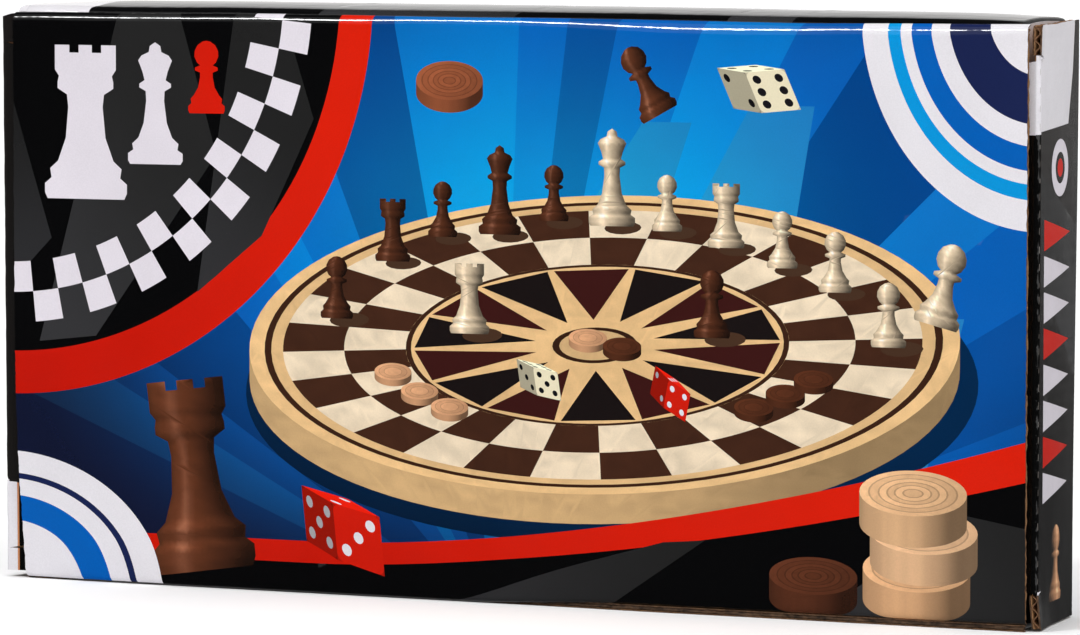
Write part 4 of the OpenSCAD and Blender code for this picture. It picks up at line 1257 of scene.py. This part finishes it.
def closure_board(side, name):
    p = Piece(name, PRINT_Z)
    at = closure_at(side)
    u2, z0, z1 = HY - TABY + T / 2, 0.5 if side > 0 else 1.9, H - 0.5
    low_cut, high_cut = SHOULDER + 0.5, H - 0.5 - SHOULDER + (1.2 if side > 0 else 0)

    def rise(u):
        return 0.75 * float(smooth(26, 2, u)) if side > 0 else 0.0

    def outline(seed, k, d=0.0, e=CO):
        u0, u1 = e, HY - TABY - e
        lo, hi = low_cut, high_cut
        if side < 0:
            b = u1 if e == CO else u2 - .7
            return ring_of(line((u0, z0), (b, z0), 1.2), line((b, z0), (b, z1), 2),
                           [(u, z1 + rise(u) + k * 0.7 * float(rough(u / 1.3, 0, seed + 9))) for u in np.arange(b - 1.4, u0, -1.0)],
                           line((u0, z1 + rise(u0)), (u0, z0), 2))
        return ring_of(line((u0, z0), (u2 - 1.4, z0), 1.2), [(u2 - .5, z0 + .35)],
                       ragged(z0 + 1.3, lo - .2, lambda z: u2 + d + 0 * z, seed, k, .5), line((u2 + d, lo), (u1, lo), .6),
                       line((u1, lo), (u1, hi), 2), line((u1, hi), (u2 + d, hi), .6),
                       ragged(hi + .2, z1 - 1.3, lambda z: u2 + d + 0 * z, seed + 3, k, .5), [(u2 - .5, z1 - .35)],
                       [(u - 0, z1 + rise(u) + k * 0.7 * float(rough(u / 1.3, 0, seed + 9))) for u in np.arange(u2 - 1.4, u0, -1.0)],
                       line((u0, z1 + rise(u0)), (u0, z0), 2))
    us, ws = np.arange(1.5, 35, 1.6), np.concatenate([np.linspace(1.2, 12, 8), np.arange(14, 146, 2.4), np.linspace(147, 156.6, 8)])
    slab(p, at, outline(201 + side, 0.1), 0.0, LINER, (0, 1, 2), us, ws, end_print(side < 0))
    slab(p, at, outline(211 + side, 0.2, -.1, T / 2 + .05), T - LINER, T, (1, 1, 2), us[::2], ws)
    u0, u1 = T / 2 + .05, HY - TABY - T / 2

    def reach(w):
        b = np.where((w < low_cut) | (w > high_cut), (u2 - 0.25 if side > 0 else u2 - 0.95) + 0.28 * rough2(w / 1.1, 0, 221 + side), u1 - 0.1)
        return u0 + 0.1 + 0 * w, b
    flutes(p, at, z0 + 0.4, z1 - 0.4, reach, 3, 12, 8, phase=1.4)
    # bead of the tuck fold, turned with the closure
    bx, by = turned(HX - BO, TABY + BO, HX, HY, SPRUNG)
    bx = bx + (bulge(side, 79.0) if side < 0 else 0.0)
    bead(p, [(side * bx, by, 0.8 + SHOULDER), (side * bx, by, high_cut - 0.3)], BR, 1)
    # small torn flakes of the pale liner where the slits end
    for zc, up in ((low_cut, 1), (high_cut, -1)) if side > 0 else ():
        for uu, out in ((u1 - .1, .5), (u2 - .1, .75)):
            base = np.array([(uu - .45, zc + .05 * up, .02), (uu + .3, zc + .05 * up, .02), (uu + .1, zc + .95 * up, -.02),
                             (uu - .45, zc + .05 * up, .2), (uu + .3, zc + .05 * up, .2), (uu + .15, zc + 1.0 * up, -out)])
            v = np.stack(at(base[:, 0], base[:, 1], base[:, 2]), 1)
            fs = [[0, 1, 2], [5, 4, 3], [0, 3, 4, 1], [1, 4, 5, 2], [2, 5, 3, 0]]
            q, cen = v[[0, 1, 2]], v.mean(0)
            if np.dot(np.cross(q[1] - q[0], q[2] - q[0]), q.mean(0) - cen) < 0:
                fs = [f[::-1] for f in fs]
            p.add(v, fs, 0, [[tuple(linear(PAPER))] * len(f) for f in fs])
    if side < 0:
        # here the printed liner covers the cut of the shoulders
        fold, flat_side = tuck_fold_at(side), tab_at(side)

        def lip(s, w, n):
            s, w, n = np.broadcast_arrays(np.asarray(s, float), np.asarray(w, float), np.asarray(n, float))
            a, b = fold(np.minimum(s, ARC), w, n), flat_side(CO + np.maximum(s - ARC, 0), w, n)
            x, y, z = (np.where(s <= ARC, i, j) for i, j in zip(a, b))
            return x, y, z + 0.9 * smooth(0.2, 4.5, s) * smooth(149, 157.5, w)
        dark = flat(rgb(6, 6, 6))
        for low_end in (True, False):
            pr = Print(dark)
            if low_end:
                a0, a1, b1 = z0, SHOULDER - 1.1, SHOULDER - .82
                pr.shape(np.array([(-1, -4), (4.65, -4), (4.65, 20), (-1, 20)]), flat(rgb(196, 132, 92)), 5)
                pr.shape(np.array([(-1, -4), (4.07, -4), (4.07, 20), (-1, 20)]), flat(PAPER), 5)
            else:
                a0, a1, b1 = z1, H - SHOULDER + 1.6, H - SHOULDER + 1.32
                pr.shape(np.array([(-1, 130), (4.65, 130), (4.65, 170), (-1, 170)]), flat(rgb(30, 27, 26)), 5)
                pr.shape(np.array([(.5, 150.2), (1.1, 150.0), (1.0, 151.2), (.6, 151.0)]), flat(rgb(168, 162, 158)), 5)
            far_s = ARC + 7.0
            r = ring_of(line((0, a0), (far_s, a0), .5), line((far_s, a0), (far_s, b1), .7), line((far_s, b1), (ARC + .05, b1), .5),
                        line((ARC + .05, b1), (ARC + .05, a1), .5), line((ARC + .05, a1), (0, a1), .3), line((0, a1), (0, a0), .7))
            if not low_end:
                r = r[::-1]
            slab(p, lip, r, 0.0, LINER, (0, 1, 2), np.concatenate([np.arange(.15, ARC, .22), np.arange(ARC + .4, far_s, .9)]),
                 np.arange(min(a0, a1) + .4, max(a0, a1), .9), pr.layers, 1)
    return p.make()


def tab_board(side, name):
    p = Piece(name, PRINT_Z)
    at = tab_at(side)
    z0, z1, c, l = (SHOULDER + 0.9, H - SHOULDER - 0.9, 9.0, 15.0) if side > 0 else (SHOULDER - 0.8, H - SHOULDER + 1.3, 9.0, 15.0)

    def outline(q0, seed, k):
        a1 = [(l - c + c * math.cos(t), z1 - c - 1 + c * math.sin(t)) for t in np.linspace(pi / 2, 0, 14)]
        a0 = [(l - c + c * math.cos(t), z0 + c + 1 + c * math.sin(t)) for t in np.linspace(0, -pi / 2, 14)]
        tip = ragged(z1 - c - 1.5, z0 + c + 1.5, lambda z: l + 0 * z, seed, k, .7)
        return ring_of([(q0, z0), (q0, z1)], a1, tip, a0)[::-1]
    us, ws = np.arange(1.6, 15, 1.8), np.arange(11, 148, 2.6)
    slab(p, at, outline(CO, 301 + side, .08), 0.0, LINER, (0, 1, 2), us, ws, tab_print(side < 0))
    slab(p, at, outline(3.0, 311 + side, .12), T - LINER, T, (1, 1, 2), us, ws)

    def reach(w):
        t = np.clip(np.maximum(w - (z1 - c - 1), (z0 + c + 1) - w), 0, c)
        return 2.3 + 0 * w, l - c + np.sqrt(np.clip(c * c - t * t, 0.4, None)) - 0.2 + 0.12 * rough2(w / 1.3, 0, 321)
    flutes(p, at, z0 + 1.4, z1 - 1.4, reach, 3, 6, 3, phase=0.6)
    # crushed inner corner
    w = np.linspace(z0 + .4, z1 - .4, 60)
    vs = [np.stack(at(q + 0 * w, w, n + 0 * w), 1) for q, n in ((1.0, .32), (1.0, .68), (3.05, T - .05), (3.4, T - .32), (3.4, .32))]
    m, vs, fs = len(w), np.concatenate(vs), []
    for j in range(5):
        for i in range(m - 1):
            a, b = j * m + i, ((j + 1) % 5) * m + i
            fs.append([a, b, b + 1, a + 1])
    fs += [[j * m for j in range(5)][::-1], [j * m + m - 1 for j in range(5)]]
    q, cen = vs[fs[0]], vs.mean(0)
    cen[2] = q[:, 2].mean()
    if np.dot(np.cross(q[1] - q[0], q[2] - q[0]), q.mean(0) - cen) < 0:
        fs = [f[::-1] for f in fs]
    p.add(vs, fs, 1)
    return p.make()


def flap_board(side, top, name):
    p = Piece(name, PRINT_Y)
    at = flap_at(side, top)
    ring = np.array([(.9, 15.55), (28, -1.81), (28, -9.8), (22, -13.1), (10.6, -13.1), (7.8, -16.5), (.9, -16.5)])
    ring = resample(ring, 1.2)
    us, ws = np.arange(2, 28, 2.0), np.arange(-16, 16, 2.0)
    outer = np.stack([np.where(ring[:, 0] < 1.0, CO, ring[:, 0]), ring[:, 1]], 1)
    pale = Print(flat(PAPER)).layers
    slab(p, at, outer, 0.0, LINER, (0, 1, 2), us, ws, pale if top else dark_print())
    slab(p, at, ring * [1, 1], T - LINER, T, (1, 1, 2), us, ws)

    def reach(w):
        b = np.interp(w, [-16.5, -13.2, -13.1, -9.8, -1.81, 15.55], [7.8, 10.4, 22, 28, 28, .9])
        return .95 + 0 * w, np.maximum(b - .25 + .1 * rough(w / .9, 0, 401), 1.1)
    flutes(p, at, -16.2, 14.9, reach, 3, 7, 6)
    return p.make()


def fold_strip(name, at, w0, w1, layers, mats, n=10, step=1.5, wall=None):
    """The printed liner round the outside of a fold."""
    p = Piece(name, mats)
    ring = ring_of(line((0, w0), (ARC, w0), .27), line((ARC, w0), (ARC, w1), step), line((ARC, w1), (0, w1), .27), line((0, w1), (0, w0), step))
    slab(p, at, ring, 0.0, LINER, (0, 1, 2 if wall is None else 0), np.linspace(.15, ARC - .15, n), np.arange(w0 + step * .7, w1, step),
         layers, 1, wall=(0.2, 0.13, 0.08) if wall is None else linear(wall))
    return p.make()


def tuck_print(left):
    pr = Print(flat(rgb(30, 27, 26) if left else rgb(7, 7, 7)))
    if left:
        pr.shape(np.array([(-1, -4), (5, -4), (5, 27.2), (-1, 27.6)]), flat(PAPER), 5)
    else:
        pr.shape(np.array([(-1, 129.2), (5, 129), (5, 165), (-1, 165)]), flat(PAPER), 5)
    z = 12.5
    k = 0
    while z < 146 and not left:
        d = 1.5 + 0.5 * float(rough(k * 1.7, 0, 501))
        tone = 96 + 36 * float(rough(k * 2.3, 0, 502))
        c = rgb(196, 192, 192) if z > 128 else rgb(tone, tone - 5, tone - 9)
        pr.shape(np.array([(.42, z), (.66, z), (.62, z + d), (.4, z + d)]), flat(c), 5)
        z += 4.6 + 0.4 * float(rough(k * 1.1, 0, 503))
        k += 1
    return pr.layers


def hinge_print(left):
    pr = Print(flat(rgb(30, 28, 28)))
    if left:
        pr.shape(np.array([(-1, -4), (5, -4), (5, 37.2), (-1, 37.5)]), flat(PAPER), 5)
    else:
        pr.shape(np.array([(-1, 4), (1.6, 4), (1.6, 36), (-1, 36)]), flat(rgb(170, 166, 176)), 5)
    return pr.layers


def at_mm(p):
    return tuple(float(c) * K for c in p)


top_node = {"right": 1, "left": -1}
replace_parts(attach(front_board(), "carton"), "front_panel")
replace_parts(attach(top_board(), "carton"), "top_panel")
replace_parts(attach(back_board(), "carton"), "back_panel")
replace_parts(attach(bottom_board(), "carton"), "bottom_panel")
for word, side in top_node.items():
    cl, tb = f"{word}_end_closure", f"{word}_tuck_tab"
    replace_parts(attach(closure_board(side, f"{word}_closure_board"), cl), cl)
    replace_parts(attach(tab_board(side, f"{word}_tab_board"), tb), tb)
    o = fold_strip(f"{word}_hinge_fold", hinge_at(side), 0.55, H - 0.55, hinge_print(side < 0), PRINT_Z)
    at = hinge_at(side)
    at_mm(at(0.0, 79.0, 0.0))
    at_mm(at(ARC, 79.0, 0.0))
    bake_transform(o)
    o = fold_strip(f"{word}_tuck_fold", tuck_fold_at(side), SHOULDER + (0.6 if side > 0 else -1.1), H - SHOULDER + (0.6 if side > 0 else 1.6), tuck_print(side < 0), PRINT_Z)
    at = tuck_fold_at(side)
    at_mm(at(0.0, 79.0, 0.0))
    at_mm(at(ARC, 79.0, 0.0))
    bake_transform(o)
    for top, tag in ((True, "top"), (False, "bottom")):
        fl = f"{word}_{tag}_dust_flap"
        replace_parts(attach(flap_board(side, top, f"{word}_{tag}_flap_board"), fl), fl)
        at = flap_fold_at(side, top)
        pale = top and side < 0
        o = fold_strip(f"{word}_{tag}_flap_fold", at, -16.6 if pale else -16.4, 15.4, Print(flat(PAPER)).layers if pale else dark_print(), PRINT_Y,
                       wall=PAPER if pale else None)
        at_mm(at(0.0, 0.0, 0.0))
        at_mm(at(ARC, 0.0, 0.0))
        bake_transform(o)

# ------------------------------------------------------------------ what the frame keeps

pine_x, *_ = wood("pine_along", rgb(232, 198, 146), rgb(196, 146, 90), "X")
pine_z, *_ = wood("pine_upright", rgb(232, 198, 146), rgb(196, 146, 90), "Z", seed=0.03)
light_wood, *_ = wood("pale_turned_wood", rgb(236, 208, 166), rgb(206, 164, 116), "Z", (0.34, 0.5), 0.006)
dark_wood, *_ = wood("dark_turned_wood", rgb(98, 58, 36), rgb(48, 27, 17), "Z", (0.3, 0.48), 0.006)
board_face = chequered("veneer_chequers", 0.032)
brass_m, ivory_m, red_m = brass("thin_brass"), plastic("ivory_plastic", IVORY), plastic("red_plastic", rgb(196, 26, 18))
for name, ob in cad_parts.items():
    if name == "glue_tab":
        m = liner_in
    elif name.endswith("_board"):
        m = board_face
    elif "rail" in name:
        m = pine_z if "end_rails" in name else pine_x
    elif name.startswith(("hinge", "clasp")):
        m = brass_m
    elif name == "red_dice":
        m = red_m
    elif name in ("ivory_dice", "doubling_cube"):
        m = ivory_m
    elif name.endswith("_light"):
        m = light_wood
    elif name.endswith("_dark"):
        m = dark_wood
    else:
        continue
    if not ob.material_slots:
        ob.data.materials.append(m)
    for s in ob.material_slots:
        s.material = m

# ------------------------------------------------------------------ floor, light, camera

me = bpy.data.meshes.new("floor")
me.from_pydata([(-30, -30, 0), (30, -30, 0), (30, 30, 0), (-30, 30, 0)], [], [(0, 1, 2, 3)])
floor = bpy.data.objects.new("floor", me)
bpy.context.scene.collection.objects.link(floor)
fm, nt, b = fresh("pale_floor")
b.inputs["Base Color"].default_value = (0.985, 0.985, 0.99, 1)
b.inputs["Roughness"].default_value = 0.9
b.inputs["Specular IOR Level"].default_value = 0.1
me.materials.append(fm)
floor.visible_glossy = False


def sun(name, direction, strength, angle, colour=(1, 1, 1)):
    l = bpy.data.lights.new(name, "SUN")
    l.energy, l.angle, l.color = strength, math.radians(angle), colour
    o = bpy.data.objects.new(name, l)
    o.rotation_mode = "QUATERNION"
    o.rotation_quaternion = Vector(direction).to_track_quat("Z", "Y")
    bpy.context.scene.collection.objects.link(o)
    return o


sun("key", (-0.43, -0.593, 0.677), 0.95, 10)
sun("key_soft", (-0.43, -0.593, 0.677), 0.35, 60)
sun("fill", (0.9, -0.45, 0.45), 1.0, 60)
sun("top", (0.05, -0.1, 1.0), 2.1, 80).visible_glossy = False

world = bpy.data.worlds.new("studio")
bpy.context.scene.world = world
world.use_nodes = True
wt = world.node_tree
bg = wt.nodes["Background"]
tc = wt.nodes.new("ShaderNodeTexCoord")
sep = wt.nodes.new("ShaderNodeSeparateXYZ")
wt.links.new(tc.outputs["Generated"], sep.inputs[0])


def ramp(value, a, b, lo, hi):
    r = wt.nodes.new("ShaderNodeMapRange")
    r.interpolation_type = "SMOOTHSTEP"
    for k, x in zip(("From Min", "From Max", "To Min", "To Max"), (a, b, lo, hi)):
        r.inputs[k].default_value = x
    wt.links.new(value, r.inputs["Value"])
    return r.outputs["Result"]


def both(kind, x, y):
    n = wt.nodes.new("ShaderNodeMath")
    n.operation = kind
    wt.links.new(x, n.inputs[0])
    wt.links.new(y, n.inputs[1])
    return n.outputs[0]


behind = both("MULTIPLY", ramp(sep.outputs[1], -0.1, 0.6, 0.0, 1.0), ramp(sep.outputs[0], -0.45, 0.3, 0.95, 0.19))
low = both("MULTIPLY", ramp(sep.outputs[2], 0.36, 0.62, 1.0, 0.0), ramp(sep.outputs[2], -0.11, 0.0, 0.2, 1.0))
wt.links.new(both("ADD", both("MULTIPLY", behind, low), ramp(sep.outputs[2], -1.0, -0.9, 0.03, 0.03)), bg.inputs["Strength"])
bg.inputs["Color"].default_value = (1.0, 0.99, 0.98, 1)

cam = bpy.data.cameras.new("camera")
cam.sensor_fit, cam.sensor_width, cam.lens = "HORIZONTAL", 36.0, 192.26
cam.clip_start, cam.clip_end = 0.05, 100
co = bpy.data.objects.new("camera", cam)
co.location = (0.65456, -1.42332, 0.18560)
co.rotation_euler = (math.pi / 2 - 0.0695714, 0.0, 0.429224)
bpy.context.scene.collection.objects.link(co)
bpy.context.scene.camera = co
bpy.context.scene.view_settings.view_transform = "Standard"
bpy.context.scene.view_settings.look = "None"
